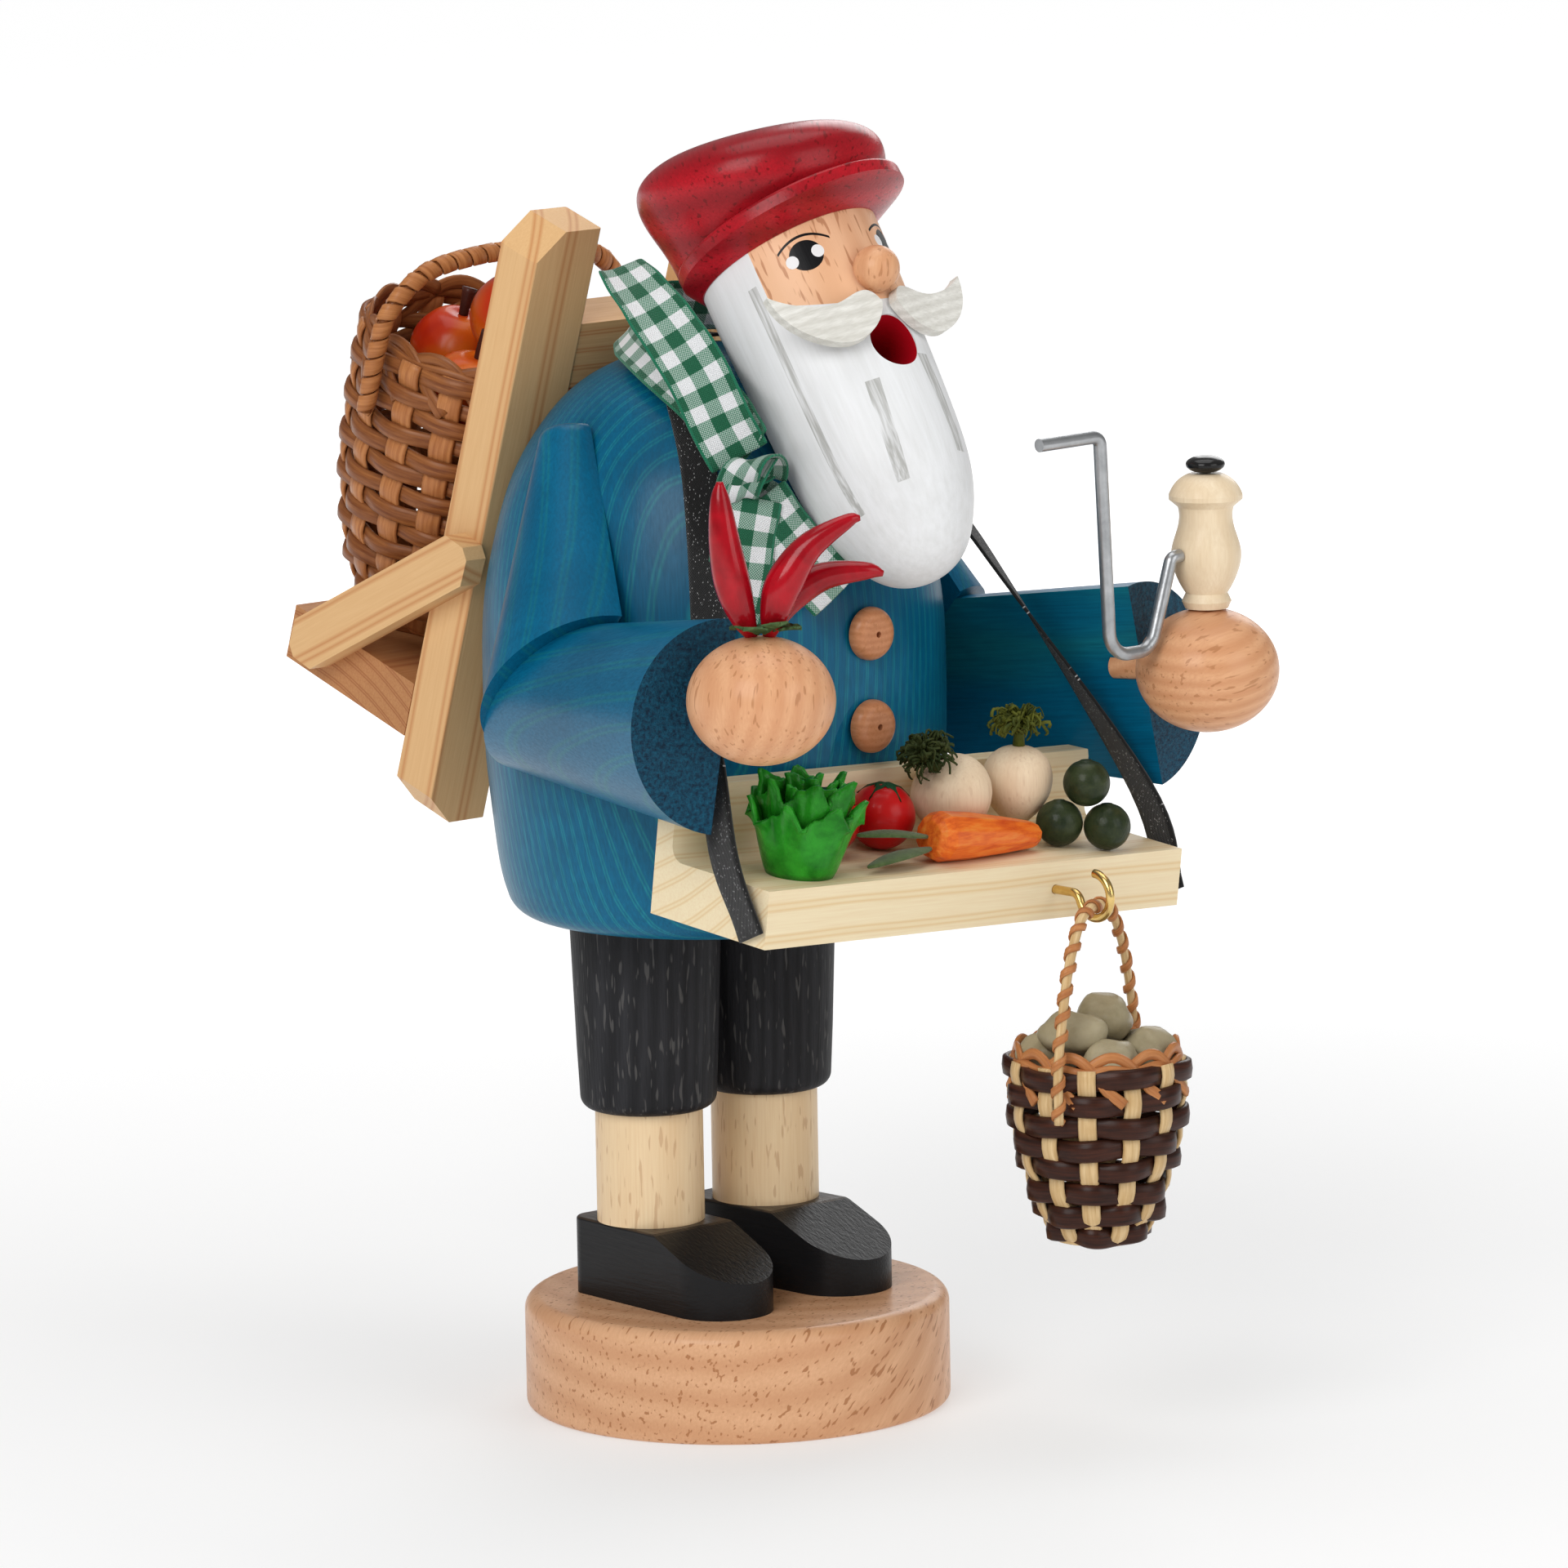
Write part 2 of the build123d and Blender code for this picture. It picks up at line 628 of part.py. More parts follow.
def from_foot(*offsets):
    """Positions given from the point where the chili stalks enter the hand."""
    return [(chili_foot.X + x, chili_foot.Y + y, chili_foot.Z + z) for x, y, z in offsets]


chili_parts = [
    tapered_tube(from_foot((-2.4, 1.4, 2.0), (-3.6, 2.4, 6.5), (-4.6, 3.0, 13.0), (-4.8, 3.4, 22.4)),
                 [1.6, 2.6, 2.1, 0.7]),
    tapered_tube(from_foot((0.8, -1.4, 2.2), (1.6, -2.6, 6.5), (4.4, -4.6, 12.5), (9.8, -8.6, 17.2)),
                 [1.6, 2.6, 2.1, 0.7]),
    tapered_tube(from_foot((3.6, 0.8, 1.8), (6.0, 0.2, 4.6), (10.2, -2.4, 7.4), (15.6, -6.4, 8.6)),
                 [1.5, 2.3, 2.0, 0.9]),
]
with BuildPart() as chilies:
    for chili in chili_parts:
        add(chili)
save(chilies.part, "chilies")

with BuildPart() as chili_leaves:
    with BuildSketch(Plane(origin=chili_foot + Vector(0.4, 0.2, 0.0), x_dir=(1, 0, 0), z_dir=(0, 0, 1))):
        RegularPolygon(4.0, 7)
    extrude(amount=0.9)
save(chili_leaves.part, "chili_leaves")


def tray_point(x, y, height):
    """A position on the tray, height above the shelf."""
    return in_plane(tray_plane, x, y, tray_shelf + height)


def ball_group(centres, half_width, half_height):
    """Separate balls in one node."""
    balls = [spheroid(centre, half_width, half_height) for centre in centres]
    with BuildPart() as group:
        for ball in balls:
            add(ball)
    return group.part


with BuildPart() as lettuce:
    with BuildSketch(Plane(origin=tray_point(-30.1, -18.6, 0.1), z_dir=tray_plane.z_dir)):
        Circle(5.2)
    with BuildSketch(Plane(origin=tray_point(-30.1, -18.6, 10.5), z_dir=tray_plane.z_dir)):
        Circle(7.8)
    loft()
save(lettuce.part, "lettuce")

tomato_radius = 5.2
tomatoes = ball_group(
    [tray_point(-17.0, -9.4, tomato_radius + 0.1), tray_point(-5.4, -9.4, tomato_radius + 0.1)],
    tomato_radius,
    tomato_radius,
)
save(tomatoes, "tomatoes")

turnip_feet = [tray_point(13.6, -10.9, 1.4), tray_point(22.0, -10.9, 0.3)]
turnip_sizes = [1.0, 0.86]
turnip_heads = [tray_point(4.1, -10.7, 12.4), tray_point(21.2, -10.7, 14.9)]
turnip_parts = []
for foot, top, size in zip(turnip_feet, turnip_heads, turnip_sizes):
    step = (top - foot) * 0.25
    stations = [foot + step * index for index in range(5)]
    radii = [1.0, 4.2 * size, 6.2 * size, 5.8 * size, 1.6]
    turnip_parts.append(tapered_tube([tuple(point) for point in stations], radii))
with BuildPart() as turnips:
    for turnip in turnip_parts:
        add(turnip)
save(turnips.part, "turnips")

greens_parts = []
for foot, top in zip(turnip_feet, turnip_heads):
    stalk = (top - foot).normalized()
    base_point = top + stalk * 0.3
    stations = [base_point, base_point + stalk * 2.4, base_point + stalk * 6.4]
    greens_parts.append(tapered_tube([tuple(point) for point in stations], [1.2, 1.7, 4.2]))
with BuildPart() as turnip_greens:
    for tuft in greens_parts:
        add(tuft)
save(turnip_greens.part, "turnip_greens")

carrot_start = tray_point(-5.8, -20.6, 4.4)
carrot_end = tray_point(18.2, -18.6, 2.4)
carrot_body = tapered_tube(
    [tuple(carrot_start), tuple(carrot_start * 0.92 + carrot_end * 0.08), tuple(carrot_end)], [3.2, 4.1, 2.0]
)
save(carrot_body, "carrot")

leaf_offsets = (-1.9, 1.3)
with BuildPart() as carrot_leaves:
    for leaf_index, offset in enumerate(leaf_offsets):
        leaf_base = tray_point(-14.0, -20.4 + offset * 1.3, 1.5 + 1.9 * leaf_index)
        with BuildSketch(Plane(origin=leaf_base, x_dir=tray_plane.x_dir, z_dir=tray_plane.z_dir)):
            Ellipse(7.6, 1.6)
        extrude(amount=0.9)
save(carrot_leaves.part, "carrot_leaves")

sprout_radius = 3.7
sprout_centres = [
    tray_point(24.4, -18.1, sprout_radius + 0.1),
    tray_point(30.1, -23.0, sprout_radius + 0.1),
    tray_point(27.5, -20.2, sprout_radius + 6.7),
]
save(ball_group(sprout_centres, sprout_radius, sprout_radius), "sprouts")


# ---------------------------------------------------------------- scarf
def strip(points, across):
    """One length of the scarf ribbon."""
    return ribbon_path(points, [across] * len(points), scarf_width, scarf_thickness)


scarf_knot = Vector(-20.6, -29.6, 152.6)
scarf_parts = [
    strip([(-21.0, -28.4, 156.6), (-23.0, -26.4, 162.5), (-25.0, -22.5, 170.5), (-26.8, -15.5, 178.5),
           (-28.6, -7.4, 186.0)], (0.7, -0.6, 0.4)),
    strip([(-19.6, -28.6, 157.2), (-17.6, -20.0, 162.8), (-17.6, -6.0, 169.9), (-11.6, 6.9, 173.4),
           (0, 12.0, 174.4), (11.6, 6.9, 173.4), (16.8, -4.0, 170.8)], (0.4, 0.1, 1)),
    strip([(-21.2, -30.4, 149.2), (-23.4, -29.6, 141.0), (-25.0, -27.9, 131.4)], (0.85, -0.5, 0)),
    strip([(-19.8, -31.2, 149.2), (-15.8, -33.4, 142.6), (-9.4, -36.0, 136.0)], (0.75, -0.3, 0.5)),
]
knot_ball = spheroid(scarf_knot, 2.2, 4.2, axis_dir=(0.75, -0.65, 0), side_dir=(0, 0, 1))
with BuildPart() as scarf:
    add(knot_ball)
    for length in scarf_parts:
        add(length)
    for neighbour in (torso.part, head.part, tray_strap):
        add(neighbour, mode=Mode.SUBTRACT)
save(scarf.part, "scarf")

# ---------------------------------------------------------------- carrying frame
rail_chamfer = 5.0


def frame_point(x, back, up):
    """A position in the tilted carrying frame: sideways, back from its front face, up along a rail."""
    return in_plane(frame_plane, x, back, up)


def make_rail(side):
    """One upright rail with a pointed, sawn top and bottom."""
    centre_x = side * (frame_outer - rail_width / 2)
    half = rail_width / 2
    with BuildPart() as rail:
        outline = Plane(origin=frame_point(centre_x, 0, 0), x_dir=(side, 0, 0),
                        z_dir=frame_plane.y_dir * -side)
        with BuildSketch(outline):
            with BuildLine():
                Polyline(
                    (-half, rail_bottom),
                    (half - rail_chamfer, rail_bottom),
                    (half, rail_bottom + rail_chamfer),
                    (half, rail_top - rail_chamfer),
                    (half - rail_chamfer, rail_top),
                    (-half, rail_top),
                    close=True,
                )
            make_face()
        extrude(amount=side * -rail_depth)
        fillet(rail.edges().filter_by(Axis(frame_origin, frame_up)), 0.35)
    save(rail.part, f"frame_rail_{SIDE_NAMES[side]}")


make_rail(RIGHT)
make_rail(LEFT)

inner_x = frame_outer - rail_width
with BuildPart() as frame_crossbar:
    with BuildSketch(Plane(origin=frame_point(0, rail_depth / 2, 19), x_dir=(1, 0, 0), z_dir=frame_up)):
        Rectangle(2 * inner_x, rail_depth - 0.4)
    extrude(amount=11)
save(frame_crossbar.part, "frame_crossbar")

with BuildPart() as frame_shelf:
    with BuildSketch(Plane(origin=frame_point(0, (rail_depth + shelf_back) / 2, shelf_top - 9.2),
                           x_dir=(1, 0, 0), z_dir=frame_up)):
        Rectangle(2 * frame_outer, shelf_back - rail_depth)
    extrude(amount=9.2)
    chamfer(frame_shelf.edges().group_by(Axis(frame_origin, frame_plane.y_dir))[-1], 0.4)
save(frame_shelf.part, "frame_shelf")

brace_length = 49.0
brace_width = 8.6
brace_thickness = 4.0
for side in (RIGHT, LEFT):
    brace_along = frame_plane.y_dir * 0.74 + frame_up * -0.673
    brace_start = frame_point(side * frame_outer, -1.0, -7.6)
    brace_centre = brace_start + brace_along * (brace_length / 2)
    with BuildPart() as frame_brace:
        with BuildSketch(Plane(origin=brace_centre, x_dir=brace_along, z_dir=(side, 0, 0))):
            Rectangle(brace_length, brace_width)
        extrude(amount=brace_thickness)
        chamfer(frame_brace.edges().filter_by(Axis.X), 3.2)
    save(frame_brace.part, f"frame_brace_{SIDE_NAMES[side]}")


# ---------------------------------------------------------------- baskets
def basket_shell(plane, outer_radii, height, wall, floor):
    """An open basket: turned outer outline, even wall and a floor."""
    section = Plane(origin=plane.origin, x_dir=plane.x_dir, z_dir=plane.y_dir * -1)
    levels = [height * index / (len(outer_radii) - 1) for index in range(len(outer_radii))]
    with BuildPart() as shell:
        with BuildSketch(section):
            with BuildLine():
                Polyline((outer_radii[0], 0), (0, 0), (0, floor), (outer_radii[0] - wall, floor))
                Spline(*[(radius - wall, max(level, floor)) for radius, level in zip(outer_radii, levels)])
                Line((outer_radii[-1] - wall, height), (outer_radii[-1], height))
                Spline(*[(radius, level) for radius, level in zip(outer_radii, levels)])
            make_face()
        revolve(axis=Axis(plane.origin, plane.z_dir))
    return shell.part


def basket_handle(plane, half_span, foot, crown, radius, end_radius):
    """A bent hoop whose feet lie outside the rim and whose crown stands over the basket's axis."""
    section = Plane(origin=plane.origin, x_dir=plane.x_dir, z_dir=plane.y_dir * -1)
    with BuildPart() as handle:
        with BuildLine(section) as hoop:
            FilletPolyline((-half_span, foot), (-half_span, crown - end_radius * 0.55),
                           (-half_span * 0.42, crown), (half_span * 0.42, crown),
                           (half_span, crown - end_radius * 0.55), (half_span, foot),
                           radius=end_radius)
        with BuildSketch(Plane(origin=hoop.line @ 0, z_dir=hoop.line % 0)):
            Circle(radius)
        sweep(path=hoop.line)
    return handle.part


apple_plane = Plane(origin=frame_point(0, apple_basket_back, shelf_top + 0.05), x_dir=(1, 0, 0),
                    z_dir=frame_up)
apple_basket = basket_shell(apple_plane, [14.5, 20.0, 22.6, 23.4, apple_basket_radius],
                            apple_basket_height, 2.4, apple_filling)
save(apple_basket, "apple_basket")
apple_handle = basket_handle(apple_plane, apple_basket_radius + 1.6, 38.0, 63.6, 1.5, 9.0)
save(apple_handle, "apple_basket_handle")

apple_radius = 7.8
apple_spots = [(-9.7, -7.0, 42.3), (9.6, -7.2, 42.3), (0.2, 9.4, 42.3), (0.2, -3.4, 53.4)]
apple_centres = [in_plane(apple_plane, *spot) for spot in apple_spots]
save(ball_group(apple_centres, apple_radius, apple_radius), "apples")

with BuildPart() as apple_stems:
    for spot in apple_spots:
        stem_root = in_plane(apple_plane, *spot) + frame_up * (apple_radius + 0.25)
        with BuildSketch(Plane(origin=stem_root, z_dir=frame_up + Vector(0.25, 0.1, 0))):
            Circle(0.9)
        extrude(amount=3.2, taper=-8)
save(apple_stems.part, "apple_stems")

# The potato basket hangs by its handle in the brass hook, with a little play round the wire.
handle_radius = 1.1
hook_bottom = ring_z - hook_ring_radius + hook_wire_radius
handle_crown = hook_bottom + handle_radius + 0.12
rim_height = handle_crown - potato_basket_drop
basket_turn = radians(25)
potato_plane = Plane(
    origin=(hook_x, ring_y, rim_height - potato_basket_height),
    x_dir=(cos(basket_turn), sin(basket_turn), 0),
    z_dir=(0, 0, 1),
)
potato_basket = basket_shell(potato_plane, [7.6, 11.2, 13.6, 14.7, potato_basket_radius],
                             potato_basket_height, 1.9, potato_filling)
save(potato_basket, "potato_basket")
crown_local = potato_basket_height + potato_basket_drop
potato_handle = basket_handle(potato_plane, potato_basket_radius + 1.25, potato_basket_height - 6,
                              crown_local, handle_radius, 6.0)
save(potato_handle, "potato_basket_handle")

potato_spots = [(-7.2, -4.6, 26.2), (3.4, -7.6, 27.4), (7.9, 3.4, 26.4), (-3.6, 6.4, 27.2), (1.0, 0.6, 34.6)]
potato_centres = [in_plane(potato_plane, *spot) for spot in potato_spots]
save(ball_group(potato_centres, 4.4, 3.4), "potatoes")
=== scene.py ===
import json
import math
import random

import bpy
from mathutils import Matrix, Vector, noise


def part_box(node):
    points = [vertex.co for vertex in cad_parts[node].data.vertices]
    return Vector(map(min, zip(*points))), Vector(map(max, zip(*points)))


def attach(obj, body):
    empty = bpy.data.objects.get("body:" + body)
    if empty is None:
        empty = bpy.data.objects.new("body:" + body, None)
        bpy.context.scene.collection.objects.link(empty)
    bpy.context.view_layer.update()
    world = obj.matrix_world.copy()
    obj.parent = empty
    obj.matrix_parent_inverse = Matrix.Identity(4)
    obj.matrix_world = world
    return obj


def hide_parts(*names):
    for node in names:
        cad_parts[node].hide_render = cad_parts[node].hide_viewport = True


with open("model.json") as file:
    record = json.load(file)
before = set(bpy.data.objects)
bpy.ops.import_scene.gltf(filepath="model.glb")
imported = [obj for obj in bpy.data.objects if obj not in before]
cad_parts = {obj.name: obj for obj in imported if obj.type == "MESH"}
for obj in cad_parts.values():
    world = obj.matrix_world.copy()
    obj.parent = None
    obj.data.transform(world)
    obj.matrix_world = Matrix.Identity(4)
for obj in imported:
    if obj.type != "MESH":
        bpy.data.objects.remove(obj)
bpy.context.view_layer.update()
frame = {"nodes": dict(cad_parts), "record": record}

MM = 0.001
RIGHT = -1
LEFT = 1


def mm(*values):
    """A point or length given in millimetres, in metres."""
    return Vector(values) * MM


# ---------------------------------------------------------------- camera, light and floor
def make_camera():
    """The photograph's camera, fitted to the object's own frame."""
    turn, pitch, pan, roll = math.radians(41), 0.162, 0.006, 0.018
    across = Vector((math.cos(pan), -math.sin(pan), 0))
    ahead = Vector((math.sin(pan) * math.cos(pitch), math.cos(pan) * math.cos(pitch), -math.sin(pitch)))
    above = Vector((math.sin(pan) * math.sin(pitch), math.cos(pan) * math.sin(pitch), math.cos(pitch)))
    right = across * math.cos(roll) - above * math.sin(roll)
    up = across * math.sin(roll) + above * math.cos(roll)
    spin = Matrix(((math.cos(turn), math.sin(turn), 0), (-math.sin(turn), math.cos(turn), 0), (0, 0, 1)))
    right, up, ahead = spin @ right, spin @ up, spin @ ahead
    matrix = Matrix((right, up, -ahead)).transposed().to_4x4()
    matrix.translation = Vector((-0.98409, -1.13206, 0.3448))
    data = bpy.data.cameras.new("photo_camera")
    data.sensor_width = 36
    data.lens = 219.7
    camera = bpy.data.objects.new("photo_camera", data)
    bpy.context.collection.objects.link(camera)
    camera.matrix_world = matrix
    bpy.context.scene.camera = camera


def make_light(name, place, size, power, target=(0, 0, 0.1)):
    """A square softbox that looks at the object."""
    data = bpy.data.lights.new(name, "AREA")
    data.shape = "SQUARE"
    data.size = size
    data.energy = power
    light = bpy.data.objects.new(name, data)
    bpy.context.collection.objects.link(light)
    light.location = place
    light.rotation_euler = (Vector(target) - Vector(place)).to_track_quat("-Z", "Y").to_euler()


make_camera()
make_light("key_box", (-1.0, -0.45, 0.85), 0.7, 8.5)
make_light("fill_box", (0.25, -1.25, 0.6), 0.8, 4.2)
make_light("top_box", (0.1, 0.1, 1.2), 0.9, 5)
make_light("rim_box", (0.9, 0.6, 0.6), 0.6, 3)

world = bpy.data.worlds.new("studio")
world.use_nodes = True
world.node_tree.nodes["Background"].inputs["Color"].default_value = (1, 1, 1, 1)
world.node_tree.nodes["Background"].inputs["Strength"].default_value = 0.24
bpy.context.scene.world = world
bpy.context.scene.view_settings.view_transform = "Standard"


# ---------------------------------------------------------------- material building
COAT_SHARE = 0.3  # how much of a stated coat is kept under the bright studio


class Graph:
    """Short calls for building one node material."""

    def __init__(self, name):
        self.material = bpy.data.materials.new(name)
        self.material.use_nodes = True
        self.tree = self.material.node_tree
        self.shader = self.tree.nodes["Principled BSDF"]

    def node(self, kind, **settings):
        made = self.tree.nodes.new(kind)
        for key, value in settings.items():
            setattr(made, key, value)
        return made

    def plug(self, socket, value):
        if isinstance(value, bpy.types.NodeSocket):
            self.tree.links.new(value, socket)
        elif isinstance(value, (tuple, list, Vector)) and len(value) == 3 and socket.type == "RGBA":
            socket.default_value = (*value, 1)
        else:
            socket.default_value = value

    def place(self, origin=(0, 0, 0), axis=(0, 0, 1), scale=(1, 1, 1)):
        """Object coordinates about origin, turned so that axis runs along local Z."""
        coords = self.node("ShaderNodeTexCoord").outputs["Object"]
        shift = self.node("ShaderNodeVectorMath", operation="SUBTRACT")
        self.plug(shift.inputs[0], coords)
        self.plug(shift.inputs[1], tuple(origin))
        turn = self.node("ShaderNodeMapping", vector_type="POINT")
        self.plug(turn.inputs["Vector"], shift.outputs[0])
        spin = Vector(axis).normalized().rotation_difference(Vector((0, 0, 1)))
        self.plug(turn.inputs["Rotation"], tuple(spin.to_euler()))
        stretch = self.node("ShaderNodeVectorMath", operation="MULTIPLY")
        self.plug(stretch.inputs[0], turn.outputs[0])
        self.plug(stretch.inputs[1], tuple(scale))
        return stretch.outputs[0]

    def stretched(self, vector, scale):
        stretch = self.node("ShaderNodeVectorMath", operation="MULTIPLY")
        self.plug(stretch.inputs[0], vector)
        self.plug(stretch.inputs[1], tuple(scale))
        return stretch.outputs[0]

    def uv(self):
        return self.node("ShaderNodeTexCoord").outputs["UV"]

    def split(self, vector):
        parts = self.node("ShaderNodeSeparateXYZ")
        self.plug(parts.inputs[0], vector)
        return parts.outputs

    def math(self, operation, a, b=0.0, c=0.0):
        made = self.node("ShaderNodeMath", operation=operation)
        for socket, value in zip(made.inputs, (a, b, c)):
            self.plug(socket, value)
        return made.outputs[0]

    def noise(self, vector, scale, detail=3.0, roughness=0.55, distortion=0.0):
        made = self.node("ShaderNodeTexNoise")
        self.plug(made.inputs["Vector"], vector)
        self.plug(made.inputs["Scale"], scale)
        self.plug(made.inputs["Detail"], detail)
        self.plug(made.inputs["Roughness"], roughness)
        self.plug(made.inputs["Distortion"], distortion)
        return made.outputs["Fac"]

    def rings(self, vector, spacing, distortion, detail_scale):
        made = self.node("ShaderNodeTexWave", wave_type="RINGS", rings_direction="Z")
        self.plug(made.inputs["Vector"], vector)
        self.plug(made.inputs["Scale"], 2 * math.pi / (20 * spacing))
        self.plug(made.inputs["Distortion"], distortion)
        self.plug(made.inputs["Detail"], 2.0)
        self.plug(made.inputs["Detail Scale"], detail_scale)
        return made.outputs["Fac"]

    def cells(self, vector, scale, feature="F1"):
        made = self.node("ShaderNodeTexVoronoi", feature=feature)
        self.plug(made.inputs["Vector"], vector)
        self.plug(made.inputs["Scale"], scale)
        return made.outputs["Distance"]

    def ramp(self, factor, *stops):
        made = self.node("ShaderNodeValToRGB")
        self.plug(made.inputs[0], factor)
        elements = made.color_ramp.elements
        while len(elements) < len(stops):
            elements.new(0.5)
        for element, (position, value) in zip(elements, stops):
            element.position = position
            element.color = (*value, 1) if isinstance(value, tuple) else (value, value, value, 1)
        return made.outputs["Color"]

    def mix(self, factor, a, b, blend="MIX"):
        made = self.node("ShaderNodeMix", data_type="RGBA", blend_type=blend)
        self.plug(made.inputs["Factor"], factor)
        self.plug(made.inputs[6], a)
        self.plug(made.inputs[7], b)
        return made.outputs[2]

    def bump(self, height, strength, distance):
        made = self.node("ShaderNodeBump")
        self.plug(made.inputs["Height"], height)
        self.plug(made.inputs["Strength"], strength)
        self.plug(made.inputs["Distance"], distance)
        self.plug(self.shader.inputs["Normal"], made.outputs[0])

    def finish(self, color, roughness, metallic=0.0, coat=0.0, coat_roughness=0.2, sheen=0.0, specular=0.15):
        self.plug(self.shader.inputs["Base Color"], color)
        self.plug(self.shader.inputs["Roughness"], roughness)
        self.shader.inputs["Metallic"].default_value = metallic
        self.shader.inputs["Coat Weight"].default_value = coat * COAT_SHARE
        self.shader.inputs["Coat Roughness"].default_value = coat_roughness
        self.shader.inputs["Sheen Weight"].default_value = sheen
        self.shader.inputs["Specular IOR Level"].default_value = specular
        return self.material


def wood(name, light, dark, axis=(0, 0, 1), centre=(0, 0, 0), spacing=0.003, waviness=3.0, contrast=0.7,
         line=None, roughness=0.4, coat=0.3, flecks=0.0, fleck_color=(0.4, 0.16, 0.06), blotch=0.25,
         grain_bump=0.15):
    """Stained or lacquered wood with growth rings about a centre line, fibres and short ray flecks."""
    g = Graph(name)
    local = g.place(centre, axis)
    ring = g.rings(g.stretched(local, (1, 1, 0.35)), spacing, waviness, 0.45)
    if line is None:
        color = g.mix(g.ramp(ring, (0.0, 0.0), (1.0, contrast)), light, dark)
    else:
        thin = g.ramp(ring, (0.0, 0.0), (0.72, 0.0), (0.93, contrast), (1.0, 0.15 * contrast))
        color = g.mix(thin, light, line)
    fibres = g.noise(g.stretched(local, (1, 1, 0.035)), 2600, 2.0, 0.6)
    color = g.mix(0.45, color, g.mix(g.ramp(fibres, (0.3, 0.0), (0.75, 1.0)), color, dark), "MIX")
    patches = g.noise(local, 45, 3.0, 0.6, 0.4)
    color = g.mix(g.ramp(patches, (0.40, 0.0), (0.72, blotch)), color, dark)
    if flecks > 0:
        dashes = g.noise(g.stretched(local, (1, 1, 0.16)), 1500, 1.0, 0.4)
        color = g.mix(g.ramp(dashes, (0.63, 0.0), (0.69, flecks)), color, fleck_color)
    g.bump(fibres, grain_bump, 0.0002)
    rough = g.math("MULTIPLY_ADD", fibres, 0.18, roughness - 0.08)
    return g.finish(color, rough, coat=coat, coat_roughness=0.22)


def plain(name, color, other, scale, roughness, coat=0.0, bump=0.1, metallic=0.0, sheen=0.0, detail=4.0,
          coat_roughness=0.15, low=0.35, high=0.7):
    """A mottled paint, paste or metal with a fine surface."""
    g = Graph(name)
    local = g.place()
    spots = g.noise(local, scale, detail, 0.6, 0.3)
    tint = g.mix(g.ramp(spots, (low, 0.0), (high, 1.0)), color, other)
    fine = g.noise(local, scale * 7, 2.0)
    g.bump(fine, bump, 0.0002)
    return g.finish(tint, g.math("MULTIPLY_ADD", spots, 0.15, roughness - 0.07), metallic, coat,
                    coat_roughness, sheen)


beech_light, beech_dark = (0.80, 0.47, 0.27), (0.60, 0.29, 0.145)
blue_light, blue_dark, blue_line = (0.001, 0.135, 0.26), (0.0, 0.045, 0.10), (0.02, 0.33, 0.33)
pine_light, pine_line = (0.90, 0.77, 0.52), (0.76, 0.53, 0.25)
rail_light, rail_line = (0.76, 0.48, 0.23), (0.55, 0.22, 0.075)
frame_up_dir = Vector((0, -math.sin(math.radians(18.4)), math.cos(math.radians(18.4))))
frame_back_dir = Vector((0, math.cos(math.radians(18.4)), math.sin(math.radians(18.4))))

base_wood = wood("base_beech", beech_light, beech_dark, axis=(0.75, 0.2, 0.63), centre=mm(18, 10, -26),
                 spacing=0.0042, waviness=1.6, contrast=0.55, flecks=0.8, roughness=0.34, coat=0.35,
                 blotch=0.2)
leg_wood = wood("pale_beech", (0.88, 0.68, 0.43), (0.74, 0.49, 0.26), centre=mm(40, 30, 0), spacing=0.005,
                contrast=0.35, flecks=0.35, roughness=0.36, coat=0.3, blotch=0.12)
hand_wood = wood("hand_beech", (0.76, 0.42, 0.23), (0.60, 0.27, 0.13), axis=(0.2, 0.05, 0.97),
                 centre=mm(0, -95, 80), spacing=0.0031, waviness=2.0, contrast=0.5, flecks=0.6,
                 roughness=0.33, coat=0.4, blotch=0.15)
pipe_hand_wood = wood("pipe_hand_beech", (0.76, 0.42, 0.23), (0.58, 0.26, 0.12), axis=(0.95, -0.2, 0.2),
                      centre=mm(46, -60, 75), spacing=0.0022, waviness=1.0, contrast=0.6, flecks=0.6,
                      roughness=0.33, coat=0.4, blotch=0.15)
charcoal = wood("charcoal_stain", (0.030, 0.030, 0.034), (0.008, 0.008, 0.009), spacing=0.002, contrast=0.6,
                flecks=0.25, fleck_color=(0.22, 0.21, 0.20), roughness=0.55, coat=0.08, blotch=0.4,
                grain_bump=0.5)
torso_wood = wood("blue_torso", blue_light, blue_dark, axis=(0.05, 0.12, 1), centre=mm(-46, -44, 120),
                  spacing=0.0019, waviness=2.4, contrast=0.55, line=blue_line, roughness=0.36, coat=0.4,
                  blotch=0.5)
sleeve_wood = wood("blue_sleeve", blue_light, blue_dark, axis=(0.15, -0.98, 0.1), centre=mm(-70, -10, 95),
                   spacing=0.0052, waviness=4.0, contrast=0.35, line=(0.02, 0.26, 0.20), roughness=0.34,
                   coat=0.4, blotch=0.45)
upper_wood = wood("blue_upper_arm", blue_light, blue_dark, axis=(0, 0.1, 1), centre=mm(-60, 30, 120),
                  spacing=0.0048, waviness=3.5, contrast=0.3, line=(0.02, 0.26, 0.20), roughness=0.34,
                  coat=0.4, blotch=0.45)
cap_wood = wood("red_cap", (0.50, 0.010, 0.020), (0.16, 0.003, 0.006), axis=(0.6, 0.75, 0.2),
                centre=mm(0, -20, 160), spacing=0.006, waviness=3.0, contrast=0.55, flecks=0.75,
                fleck_color=(0.14, 0.003, 0.004), roughness=0.30, coat=0.5, blotch=0.55)
